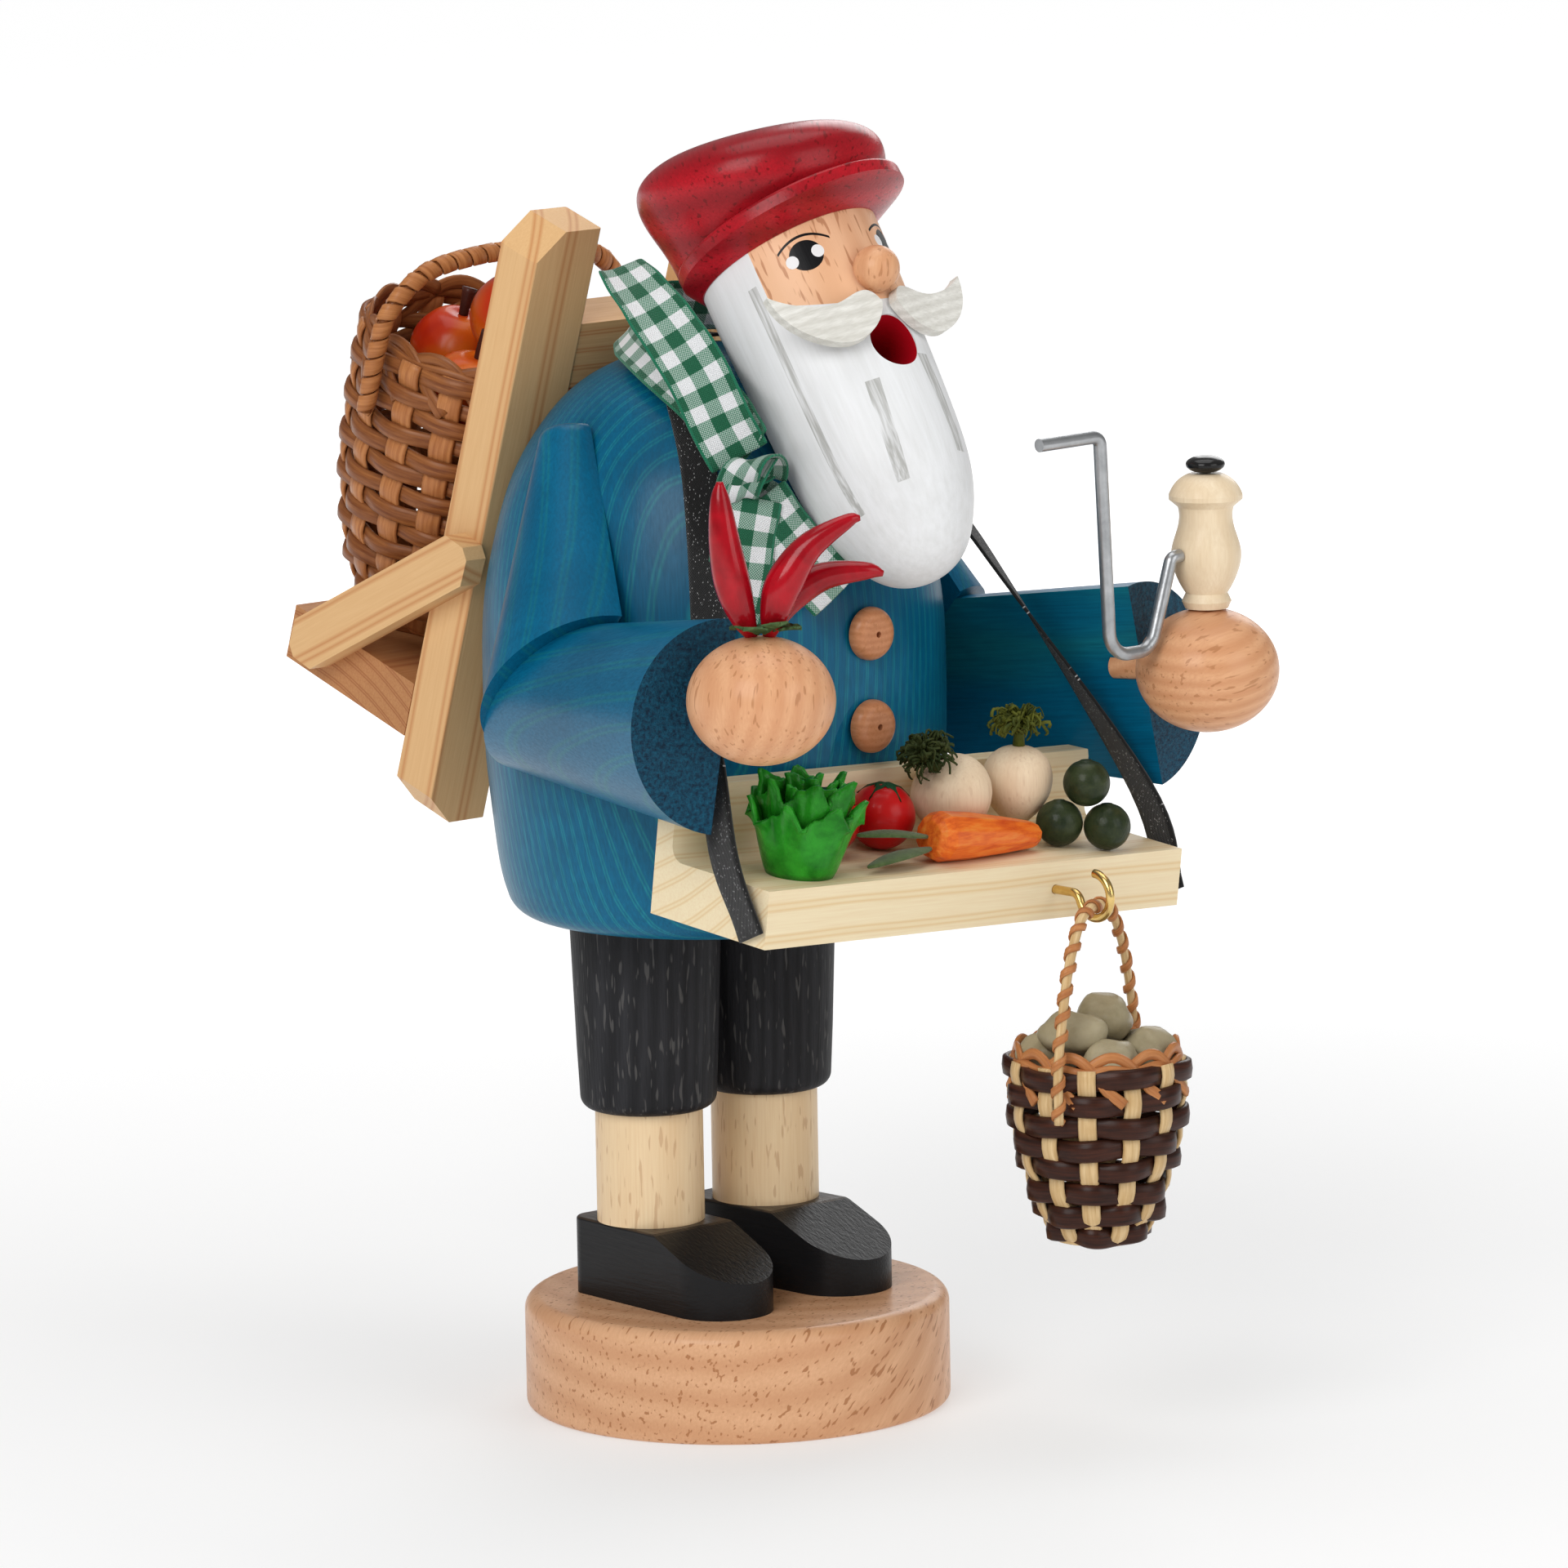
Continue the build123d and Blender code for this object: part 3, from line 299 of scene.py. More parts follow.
tray_wood = wood("pine_tray", pine_light, (0.80, 0.60, 0.36), axis=(1, 0, -0.05), centre=mm(0, -10, 145),
                 spacing=0.0034, waviness=1.4, contrast=0.75, line=pine_line, roughness=0.5, coat=0.1,
                 blotch=0.1)
rail_wood = wood("pine_rail", rail_light, (0.66, 0.37, 0.16), axis=frame_up_dir, centre=mm(-70, 75, 150),
                 spacing=0.0056, waviness=1.6, contrast=0.85, line=rail_line, roughness=0.46, coat=0.12,
                 blotch=0.15)
brace_wood = wood("pine_brace", rail_light, (0.66, 0.37, 0.16),
                  axis=frame_back_dir * 0.74 - frame_up_dir * 0.673, centre=mm(0, 70, 190),
                  spacing=0.0058, waviness=2.2, contrast=0.85, line=rail_line, roughness=0.46, coat=0.12,
                  blotch=0.15)
cross_wood = wood("pine_crossbar", (0.70, 0.43, 0.20), (0.5, 0.24, 0.1), axis=(1, 0, 0),
                  centre=mm(0, 10, 220),
                  spacing=0.0030, waviness=1.4, contrast=0.95, line=rail_line, roughness=0.48, coat=0.1,
                  blotch=0.2)
shelf_wood = wood("pine_shelf", (0.52, 0.25, 0.10), (0.34, 0.12, 0.045), axis=(1, 0, 0), centre=mm(0, 90, 60),
                  spacing=0.0024, waviness=1.0, contrast=0.95, line=(0.34, 0.12, 0.045), roughness=0.5,
                  coat=0.08, blotch=0.2)
moustache_wood = wood("white_washed", (0.86, 0.85, 0.80), (0.46, 0.44, 0.38), axis=(1, 0, 0.1),
                      centre=mm(0, -45, 150), spacing=0.0016, waviness=3.0, contrast=0.35, roughness=0.55,
                      coat=0.05, blotch=0.3, grain_bump=0.4)
pipe_wood = wood("cream_maple", (0.86, 0.72, 0.52), (0.70, 0.52, 0.32), centre=mm(80, -60, 0), spacing=0.004,
                 contrast=0.35, roughness=0.32, coat=0.3, blotch=0.15)
button_wood = wood("button_beech", (0.60, 0.27, 0.13), (0.42, 0.15, 0.06), axis=(0, 1, 0),
                   centre=mm(0, -30, 150), spacing=0.0011, waviness=2.0, contrast=0.45, flecks=0.4,
                   roughness=0.3, coat=0.5)
turnip_wood = wood("cream_turned", (0.86, 0.70, 0.50), (0.70, 0.50, 0.32), spacing=0.004, contrast=0.3,
                   roughness=0.55, coat=0.05, flecks=0.15)


def shoe_material():
    """Black lacquer, worn to brown on the flat top behind the slanted cut."""
    g = Graph("shoe_lacquer")
    local = g.place()
    x, y, z = g.split(local)
    top = g.math("MULTIPLY", g.math("GREATER_THAN", z, 0.03015), g.noise(local, 320, 4.0))
    color = g.mix(g.ramp(top, (0.25, 0.0), (0.6, 0.75)), (0.010, 0.010, 0.011), (0.075, 0.050, 0.032))
    fibres = g.noise(g.stretched(local, (1, 0.06, 1)), 1900, 2.0)
    g.bump(fibres, 0.35, 0.00025)
    return g.finish(color, g.math("MULTIPLY_ADD", fibres, 0.2, 0.27), coat=0.3, coat_roughness=0.25)


def cuff_material():
    """Rough sawn, deep blue end grain."""
    g = Graph("sawn_blue")
    local = g.place(axis=(0.1, -1, 0.1))
    pores = g.noise(g.stretched(local, (1, 1, 0.3)), 1500, 4.0, 0.75)
    color = g.mix(g.ramp(pores, (0.35, 0.0), (0.68, 1.0)), (0.001, 0.016, 0.042), (0.006, 0.105, 0.19))
    g.bump(pores, 0.8, 0.0007)
    return g.finish(color, 0.45, coat=0.25)


HEAD_CENTRE = mm(0, -22.96, 176.08)
HEAD_TILT = math.radians(33.5)
HEAD_UP = Vector((0, math.sin(HEAD_TILT), math.cos(HEAD_TILT)))


def head_material():
    """Beech face; white painted hair and beard with grey strokes; painted doll's eyes; red mouth bore."""
    g = Graph("painted_head")
    local = g.place(HEAD_CENTRE, HEAD_UP)
    x, y, z = g.split(local)
    angle = g.math("MULTIPLY", g.math("ARCTAN2", x, g.math("MULTIPLY", y, -1)),
                   180 / math.pi)
    radius = g.math("SQRT", g.math("ADD", g.math("MULTIPLY", x, x), g.math("MULTIPLY", y, y)))
    zmm = g.math("MULTIPLY", z, 1000)
    ring = g.rings(g.stretched(g.place(HEAD_CENTRE + mm(30, 20, 0), HEAD_UP), (1, 1, 0.3)), 0.0035, 2.0, 0.5)
    skin = g.mix(g.ramp(ring, (0, 0.0), (1, 0.45)), (0.84, 0.50, 0.30), (0.70, 0.36, 0.19))
    dashes = g.noise(g.stretched(local, (1, 1, 0.16)), 1500, 1.0, 0.4)
    skin = g.mix(g.ramp(dashes, (0.60, 0.0), (0.66, 0.7)), skin, (0.45, 0.18, 0.08))
    strands = g.noise(g.stretched(local, (1, 1, 0.05)), 900, 3.0, 0.6)
    paint = g.mix(g.ramp(strands, (0.35, 0.0), (0.75, 0.35)), (0.80, 0.81, 0.82), (0.60, 0.60, 0.58))

    def stroke(centre_angle, top, bottom, half_width, slant):
        along = g.math("DIVIDE", g.math("SUBTRACT", zmm, top), bottom - top)
        middle = g.math("MULTIPLY_ADD", along, slant, centre_angle)
        off = g.math("ABSOLUTE", g.math("SUBTRACT", angle, middle))
        inside = g.math("LESS_THAN", off, half_width)
        inside = g.math("MULTIPLY", inside, g.math("GREATER_THAN", along, 0.0))
        return g.math("MULTIPLY", inside, g.math("LESS_THAN", along, 1.0))

    brush = g.noise(g.stretched(local, (1, 1, 0.06)), 1700, 2.0, 0.6)
    for centre_angle, top, bottom, half_width, slant in (
        (-27, -17.5, -34, 5.0, -6), (20, -14.5, -31, 5.5, 6), (-73, 4, -36, 3.2, 0), (73, 4, -36, 3.2, 0)
    ):
        wet = g.math("MULTIPLY", stroke(centre_angle, top, bottom, half_width, slant),
                     g.ramp(brush, (0.30, 0.0), (0.62, 0.9)))
        paint = g.mix(wet, paint, (0.40, 0.40, 0.38))
    bow = g.math("DIVIDE", angle, 66.0)
    limit = g.math("MULTIPLY_ADD", g.math("MULTIPLY", bow, bow), 5.0, -5.0)
    face = g.math("MULTIPLY", g.math("GREATER_THAN", zmm, limit),
                  g.math("LESS_THAN", g.math("ABSOLUTE", angle), 66.0))
    color = g.mix(face, paint, skin)

    def disc(centre_angle, height, half_width, half_height):
        across = g.math("DIVIDE", g.math("MULTIPLY", g.math("SUBTRACT", angle, centre_angle), 0.2566),
                        half_width)
        up = g.math("DIVIDE", g.math("SUBTRACT", zmm, height), half_height)
        reach = g.math("ADD", g.math("MULTIPLY", across, across), g.math("MULTIPLY", up, up))
        return g.math("LESS_THAN", reach, 1.0)

    def brow(centre_angle, height, half_span):
        across = g.math("DIVIDE", g.math("SUBTRACT", angle, centre_angle), half_span)
        middle = g.math("MULTIPLY_ADD", g.math("MULTIPLY", across, across), -1.6, height)
        off = g.math("ABSOLUTE", g.math("SUBTRACT", zmm, middle))
        return g.math("MULTIPLY", g.math("LESS_THAN", off, 0.22),
                      g.math("LESS_THAN", g.math("ABSOLUTE", across), 1.0))

    ink, dot = (0.006, 0.006, 0.007), (0.82, 0.82, 0.82)
    for mask, tint in (
        (disc(-34.0, 4.9, 2.7, 2.5), ink), (disc(33.4, 5.3, 2.7, 2.5), ink),
        (brow(-33, 8.2, 17), ink), (brow(34, 8.6, 17), ink),
        (disc(-43.5, 4.6, 1.0, 1.05), dot), (disc(-26.5, 5.0, 1.0, 1.05), dot),
        (disc(23.5, 5.4, 1.0, 1.05), dot), (disc(43.0, 5.4, 1.0, 1.05), dot),
    ):
        color = g.mix(mask, color, tint)
    bore_x = g.math("MULTIPLY", x, 1000)
    bore_z = g.math("ADD", zmm, 12.0)
    bore = g.math("ADD", g.math("MULTIPLY", bore_x, bore_x), g.math("MULTIPLY", bore_z, bore_z))
    inner = g.math("MULTIPLY", g.math("LESS_THAN", bore, 19.7), g.math("LESS_THAN", radius, 0.0142))
    color = g.mix(inner, color, (0.45, 0.004, 0.012))
    g.bump(strands, 0.25, 0.0003)
    return g.finish(color, 0.38, coat=0.25)


def gingham_material():
    """Green and white woven check; UV runs across and along the ribbon in metres."""
    g = Graph("gingham")
    u, v, _ = g.split(g.uv())
    across = g.math("ABSOLUTE", g.math("SUBTRACT", u, 0.005))
    stripe_u = g.math("ADD", g.math("LESS_THAN", across, 0.00125), g.math("GREATER_THAN", across, 0.0036))
    wave_v = g.math("FRACT", g.math("DIVIDE", v, 0.0050))
    stripe_v = g.math("LESS_THAN", wave_v, 0.5)
    amount = g.math("MULTIPLY", g.math("ADD", stripe_u, stripe_v), 0.5)
    threads = g.math("MULTIPLY", g.math("SINE", g.math("MULTIPLY", u, 2 * math.pi / 0.00042)),
                     g.math("SINE", g.math("MULTIPLY", v, 2 * math.pi / 0.00042)))
    amount = g.math("MULTIPLY_ADD", threads, 0.22, amount)
    color = g.ramp(amount, (0.0, (0.82, 0.82, 0.84)), (0.42, (0.38, 0.50, 0.44)), (0.60, (0.03, 0.19, 0.10)),
                   (1.0, (0.004, 0.095, 0.042)))
    edge = g.math("GREATER_THAN", across, 0.00455)
    color = g.mix(edge, color, (0.008, 0.16, 0.08))
    g.bump(threads, 0.5, 0.0002)
    return g.finish(color, 0.62, sheen=0.25)


def ribbon_material():
    """Black woven ribbon with small bright specks."""
    g = Graph("black_ribbon")
    u, v, _ = g.split(g.uv())
    local = g.uv()
    dots = g.cells(local, 1500)
    color = g.mix(g.ramp(dots, (0.13, 1.0), (0.22, 0.0)), (0.008, 0.008, 0.008), (0.42, 0.42, 0.42))
    threads = g.math("MULTIPLY", g.math("SINE", g.math("MULTIPLY", u, 2 * math.pi / 0.0005)),
                     g.math("SINE", g.math("MULTIPLY", v, 2 * math.pi / 0.0005)))
    g.bump(threads, 0.6, 0.0002)
    return g.finish(color, 0.55, sheen=0.2)


def cane_material(name, light, dark, streaks=1600):
    """Split cane with fine lengthwise fibres; UV runs along the strip in metres."""
    g = Graph(name)
    fibres = g.noise(g.stretched(g.uv(), (1, 0.06, 1)), streaks, 3.0, 0.6)
    patches = g.noise(g.place(), 240, 3.0)
    color = g.mix(g.ramp(fibres, (0.3, 0.0), (0.7, 1.0)), light, dark)
    color = g.mix(g.ramp(patches, (0.45, 0.0), (0.75, 0.5)), color, dark)
    g.bump(fibres, 0.45, 0.0002)
    return g.finish(color, g.math("MULTIPLY_ADD", patches, 0.2, 0.28), coat=0.35, coat_roughness=0.25)


def apple_material():
    """Red gloss running to orange."""
    g = Graph("apple_gloss")
    local = g.place()
    blush = g.noise(local, 75, 2.0, 0.5, 0.2)
    color = g.ramp(blush, (0.32, (0.66, 0.13, 0.008)), (0.46, (0.52, 0.035, 0.006)),
                   (0.60, (0.30, 0.004, 0.004)))
    g.bump(g.noise(local, 900, 2.0), 0.08, 0.0002)
    return g.finish(color, 0.28, coat=0.5)


def carrot_material():
    g = Graph("carrot_paint")
    local = g.place(axis=(1, 0.05, -0.06))
    strokes = g.noise(g.stretched(local, (1, 1, 0.12)), 850, 3.0, 0.65)
    color = g.ramp(strokes, (0.30, (0.62, 0.075, 0.012)), (0.52, (0.82, 0.17, 0.02)),
                   (0.75, (0.86, 0.30, 0.05)))
    g.bump(strokes, 0.4, 0.0003)
    return g.finish(color, 0.36, coat=0.3)


materials = {
    "shoe": shoe_material(),
    "cuff": cuff_material(),
    "head": head_material(),
    "gingham": gingham_material(),
    "ribbon": ribbon_material(),
    "brown_cane": cane_material("brown_cane", (0.36, 0.135, 0.042), (0.16, 0.045, 0.013)),
    "dark_cane": cane_material("dark_cane", (0.070, 0.020, 0.010), (0.016, 0.006, 0.004)),
    "pale_cane": cane_material("pale_cane", (0.78, 0.58, 0.32), (0.52, 0.32, 0.13)),
    "wrap_cane": cane_material("wrap_cane", (0.58, 0.25, 0.09), (0.34, 0.115, 0.035)),
    "apple": apple_material(),
    "carrot": carrot_material(),
    "zinc": plain("zinc_wire", (0.46, 0.47, 0.48), (0.32, 0.33, 0.34), 260, 0.34, metallic=0.9, bump=0.15),
    "brass": plain("hook_brass", (0.75, 0.53, 0.20), (0.60, 0.40, 0.13), 300, 0.24, metallic=1.0, bump=0.05),
    "steel": plain("nail_steel", (0.5, 0.5, 0.5), (0.4, 0.4, 0.4), 300, 0.4, metallic=0.9),
    "black_gloss": plain("black_gloss", (0.006, 0.006, 0.006), (0.016, 0.015, 0.015), 200, 0.16, coat=0.8,
                         bump=0.03),
    "chili": plain("chili_gloss", (0.42, 0.004, 0.012), (0.22, 0.002, 0.006), 190, 0.18, coat=0.9, bump=0.05),
    "leaf": plain("dark_leaf", (0.035, 0.085, 0.030), (0.10, 0.17, 0.06), 520, 0.55, bump=0.5),
    "lettuce": plain("lettuce_green", (0.030, 0.34, 0.022), (0.006, 0.15, 0.006), 260, 0.30, coat=0.35,
                     bump=0.4),
    "tomato": plain("tomato_red", (0.62, 0.010, 0.010), (0.44, 0.004, 0.006), 130, 0.3, coat=0.35, bump=0.1),
    "calyx": plain("calyx_green", (0.004, 0.045, 0.016), (0.012, 0.075, 0.028), 400, 0.5),
    "moss": plain("dry_moss", (0.115, 0.125, 0.016), (0.035, 0.050, 0.010), 300, 0.6, bump=0.4),
    "dark_moss": plain("dark_moss", (0.022, 0.040, 0.010), (0.055, 0.065, 0.018), 300, 0.6, bump=0.4),
    "sprout": plain("sprout_green", (0.016, 0.026, 0.011), (0.045, 0.058, 0.022), 330, 0.34, coat=0.3,
                    bump=0.35),
    "potato": plain("potato_paste", (0.39, 0.335, 0.215), (0.28, 0.235, 0.14), 210, 0.36, coat=0.15,
                    bump=0.25),
    "stem": plain("apple_stem", (0.085, 0.022, 0.014), (0.03, 0.010, 0.007), 260, 0.35, coat=0.3),
    "carrot_leaf": plain("velvet_leaf", (0.045, 0.085, 0.018), (0.10, 0.15, 0.045), 900, 0.6, bump=0.6,
                         sheen=0.3),
}

node_materials = {
    "base_disc": base_wood, "shoe_right": materials["shoe"], "shoe_left": materials["shoe"],
    "leg_right": leg_wood, "leg_left": leg_wood, "trouser_right": charcoal, "trouser_left": charcoal,
    "waist_plug": charcoal, "incense_plate": materials["brass"], "plate_nail": materials["steel"],
    "torso": torso_wood, "upper_arm_right": upper_wood, "upper_arm_left": upper_wood,
    "forearm_right": sleeve_wood, "forearm_left": sleeve_wood, "hand_right": hand_wood,
    "hand_left": pipe_hand_wood, "head": materials["head"], "nose": hand_wood,
    "moustache_right": moustache_wood, "moustache_left": moustache_wood, "cap_crown": cap_wood,
    "cap_brim": cap_wood, "button_upper": button_wood, "button_lower": button_wood, "tray": tray_wood,
    "tray_hook": materials["brass"], "pipe_bowl": pipe_wood, "pipe_lid_knob": materials["black_gloss"],
    "pipe_stem": materials["zinc"], "tomatoes": materials["tomato"], "sprouts": materials["sprout"],
    "frame_rail_right": rail_wood, "frame_rail_left": rail_wood, "frame_crossbar": cross_wood,
    "frame_shelf": shelf_wood, "frame_brace_right": brace_wood, "frame_brace_left": brace_wood,
}
for node_name, material in node_materials.items():
    node = frame["nodes"][node_name]
    for index in range(max(1, len(node.data.materials))):
        if index < len(node.data.materials):
            node.data.materials[index] = material
        else:
            node.data.materials.append(material)


# ---------------------------------------------------------------- mesh building
def make_piece(name, verts, faces, material, body, replaces=(), slot=None, uvs=None, smooth=True,
               thickness=0.0, subdivide=0):
    """A mesh piece in the row frame that rides on a body. uvs holds one pair per vertex, in metres."""
    mesh = bpy.data.meshes.new(name)
    mesh.from_pydata([tuple(v) for v in verts], [], faces)
    mesh.polygons.foreach_set("use_smooth", [smooth] * len(mesh.polygons))
    if uvs is not None:
        layer = mesh.uv_layers.new(name="UVMap")
        for loop in mesh.loops:
            layer.data[loop.index].uv = uvs[loop.vertex_index]
    mesh.materials.append(material)
    piece = bpy.data.objects.new(name, mesh)
    bpy.context.collection.objects.link(piece)
    if thickness > 0:
        solid = piece.modifiers.new("thickness", "SOLIDIFY")
        solid.thickness = thickness
        solid.offset = 0.0
    if subdivide:
        finer = piece.modifiers.new("finer", "SUBSURF")
        finer.levels = subdivide
        finer.render_levels = subdivide
    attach(piece, body)
    if replaces:
        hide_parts(*replaces)
    return piece


def smooth_path(points, steps):
    """Catmull-Rom points through the given ones, steps to each span."""
    points = [Vector(p) for p in points]
    ends = [points[0] * 2 - points[1]] + points + [points[-1] * 2 - points[-2]]
    made = []
    for i in range(1, len(ends) - 2):
        for k in range(steps):
            t = k / steps
            a, b, c, d = ends[i - 1], ends[i], ends[i + 1], ends[i + 2]
            made.append(0.5 * ((2 * b) + (c - a) * t + (2 * a - 5 * b + 4 * c - d) * t * t
                               + (3 * b - a - 3 * c + d) * t * t * t))
    made.append(points[-1])
    return made


def smooth_values(values, steps):
    """The same spacing as smooth_path, for single numbers."""
    return [v.x for v in smooth_path([Vector((value, 0, 0)) for value in values], steps)]


def path_frames(points, closed=False):
    """A tangent, normal and binormal at each point, turned as little as possible from one to the next."""
    count = len(points)
    frames = []
    normal = None
    for i, point in enumerate(points):
        before = points[(i - 1) % count] if closed or i else point
        after = points[(i + 1) % count] if closed or i < count - 1 else point
        tangent = (after - before).normalized()
        if normal is None:
            guess = Vector((0, 0, 1)) if abs(tangent.z) < 0.8 else Vector((1, 0, 0))
            normal = (guess - tangent * guess.dot(tangent)).normalized()
        else:
            normal = (normal - tangent * normal.dot(tangent)).normalized()
        frames.append((tangent, normal, tangent.cross(normal)))
    return frames


def tube(points, radii, sides=12, closed=False, flat=1.0):
    """Vertices, faces and UVs of a tube; flat is its binormal radius over its normal one."""
    verts, faces, uvs = [], [], []
    run = 0.0
    frames = path_frames(points, closed)
    for i, (point, (_, normal, side)) in enumerate(zip(points, frames)):
        run += (point - points[i - 1]).length if i else 0.0
        radius = radii[i] if hasattr(radii, "__len__") else radii
        for k in range(sides):
            a = 2 * math.pi * k / sides
            verts.append(point + normal * (radius * math.cos(a)) + side * (radius * flat * math.sin(a)))
            uvs.append((a * radius, run))
    spans = len(points) if closed else len(points) - 1
    for i in range(spans):
        for k in range(sides):
            a, b = i * sides + k, i * sides + (k + 1) % sides
            c, d = ((i + 1) % len(points)) * sides + (k + 1) % sides, ((i + 1) % len(points)) * sides + k
            faces.append((a, b, c, d))
    if not closed:
        faces.append(tuple(reversed(range(sides))))
        faces.append(tuple(range(len(verts) - sides, len(verts))))
    return verts, faces, uvs


def joined(parts):
    """Several (vertices, faces, UVs) as one."""
    verts, faces, uvs = [], [], []
    for v, f, u in parts:
        start = len(verts)
        verts.extend(v)
        uvs.extend(u)
        faces.extend(tuple(index + start for index in face) for face in f)
    return verts, faces, uvs


def band(points, across, width, columns=8, curl=0.0, edge_wave=0.0):
    """A flat band along points whose width lies along the vectors in across; UVs in metres."""
    verts, faces, uvs = [], [], []
    run = 0.0
    for i, point in enumerate(points):
        run += (point - points[i - 1]).length if i else 0.0
        tangent = (points[min(i + 1, len(points) - 1)] - points[max(i - 1, 0)]).normalized()
        side = (across[i] - tangent * across[i].dot(tangent)).normalized()
        normal = side.cross(tangent)
        for k in range(columns + 1):
            t = k / columns - 0.5
            lift = curl * (4 * t * t - 0.33) + edge_wave * math.sin(run * 900 + k) * abs(t) * 2
            verts.append(point + side * (width * t) + normal * lift)
            uvs.append((width * (t + 0.5) * 0.01 / width, run))
    for i in range(len(points) - 1):
        for k in range(columns):
            a = i * (columns + 1) + k
            faces.append((a, a + 1, a + columns + 2, a + columns + 1))
    return verts, faces, uvs


def ellipsoid(centre, radii, axes=None, rough=0.0, seed=0.0, rings=18, sides=28, dimple=0.0):
    """A closed rounded body with optional lumps and a dimple at its top."""
    axes = axes or (Vector((1, 0, 0)), Vector((0, 1, 0)), Vector((0, 0, 1)))
    verts, faces, uvs = [], [], []
    for i in range(rings + 1):
        polar = math.pi * i / rings
        for k in range(sides):
            a = 2 * math.pi * k / sides
            unit = Vector((math.sin(polar) * math.cos(a), math.sin(polar) * math.sin(a), math.cos(polar)))
            grow = 1 + rough * noise.noise(unit * 1.6 + Vector((seed, seed * 2, seed * 3)))
            grow -= dimple * math.exp(-((1 - unit.z) / 0.06))
            offset = (axes[0] * (unit.x * radii[0]) + axes[1] * (unit.y * radii[1])
                      + axes[2] * (unit.z * radii[2]))
            verts.append(centre + offset * grow)
            uvs.append((a * radii[0], polar * radii[2]))
    for i in range(rings):
        for k in range(sides):
            a, b = i * sides + k, i * sides + (k + 1) % sides
            faces.append((a, a + sides, b + sides, b))
    return verts, faces, uvs


# ---------------------------------------------------------------- sawn sleeve ends
def sleeve_caps():
    """The sawn cuff faces are darker and rougher than the turned sleeves: the front-end faces of each forearm
    take the sawn material.
    """
    for side, node_name in ((RIGHT, "forearm_right"), (LEFT, "forearm_left")):
        node = frame["nodes"][node_name]
        forward = Vector((side * 0.177, -0.984, 0)).normalized()
        reach = max((v.co.dot(forward) for v in node.data.vertices))
        node.data.materials.append(materials["cuff"])
        last = len(node.data.materials) - 1
        for polygon in node.data.polygons:
            if abs(polygon.normal.dot(forward)) > 0.93 and polygon.center.dot(forward) > reach - 0.006:
                polygon.material_index = last


sleeve_caps()


# ---------------------------------------------------------------- ribbons
def strap_half(side):
    drop = 4.2 if side == LEFT else 0
    return [
        mm(side * 9.0, 3.4, 170.2), mm(side * 15.6, -7.0, 167.6), mm(side * 19.4, -14.6, 161.8),
        mm(side * 22.6, -20.6, 154.4), mm(side * 25.0, -24.4, 146.0), mm(side * 29.5, -30.2, 136.0),
        mm(side * 44.1, -48.6, 104.0 - drop), mm(side * 44.1, -55.6, 87.6 - drop),
    ]


strap_points = strap_half(RIGHT)[::-1] + [mm(0, 7.6, 171.0)] + strap_half(LEFT)
strap_sides = [Vector((0, 1, 0)), Vector((0, 1, 0))] + [Vector((0.75, -0.65, 0))] * 4 + [
    Vector((0.8, 0.3, 0)), Vector((0.5, 0.85, 0)), Vector((0, 1, 0)), Vector((-0.5, 0.85, 0)),
    Vector((-0.8, 0.3, 0))] + [Vector((-0.75, -0.65, 0))] * 4 + [Vector((0, 1, 0)), Vector((0, 1, 0))]
for i in range(9, len(strap_sides)):
    if strap_sides[i].dot(strap_sides[i - 1]) < 0:
        strap_sides[i] = -strap_sides[i]
strap_mesh = band(smooth_path(strap_points, 8), smooth_path(strap_sides, 8), 5.6 * MM, 6)
make_piece("carrying_strap", *strap_mesh[:2], materials["ribbon"], "figure", ["tray_strap"], "black_ribbon",
           uvs=strap_mesh[2], thickness=0.0005)

SCARF = 10.0 * MM


def scarf_strip(name, points, across, curl, replaces=()):
    route = smooth_path([mm(*p) for p in points], 8)
    sides = smooth_path([Vector(a) for a in across], 8)
    strip = band(route, sides, SCARF, 10, curl, 0.00022)
    piece = make_piece(name, *strip[:2], materials["gingham"], "figure", replaces, "gingham_ribbon",
                       uvs=strip[2], thickness=0.00035, subdivide=1)
    return piece


scarf_strip(
    "scarf_upper_tail",
    [(-21.0, -28.6, 156.4), (-22.8, -26.6, 161.5), (-24.6, -23.0, 169.5),
     (-26.2, -16.0, 178.0), (-27.8, -8.4, 185.4)],
    [(0.75, -0.55, 0.3), (0.72, -0.66, 0.2), (0.72, -0.62, 0.18), (0.85, -0.35, 0.25), (0.9, 0.25, 0.3)],
    0.0009, ["scarf"])
scarf_strip(
    "scarf_neck_wrap",
    [(-19.6, -29.2, 157.0), (-18.2, -20.0, 163.2), (-17.8, -6.0, 170.6), (-11.6, 7.2, 174.0),
     (0, 12.4, 175.0),
     (11.6, 7.2, 174.0), (17.4, -4.0, 171.2), (18.0, -16.0, 165.6)],
    [(0.3, 0.3, 0.9), (0.5, 0.2, 0.8), (0.6, -0.1, 0.8), (0.4, -0.4, 0.8), (0, -0.5, 0.86), (-0.4, -0.4, 0.8),
     (-0.6, -0.1, 0.8), (-0.5, 0.2, 0.8)],
    0.0006)
scarf_strip(
    "scarf_lower_tail",
    [(-21.0, -31.0, 150.6), (-22.6, -31.2, 145.0), (-23.6, -30.6, 138.0), (-24.6, -29.2, 131.4)],
    [(0.8, -0.6, 0), (0.86, -0.5, 0.1), (0.8, -0.6, 0), (0.75, -0.62, 0.1)], 0.0008)
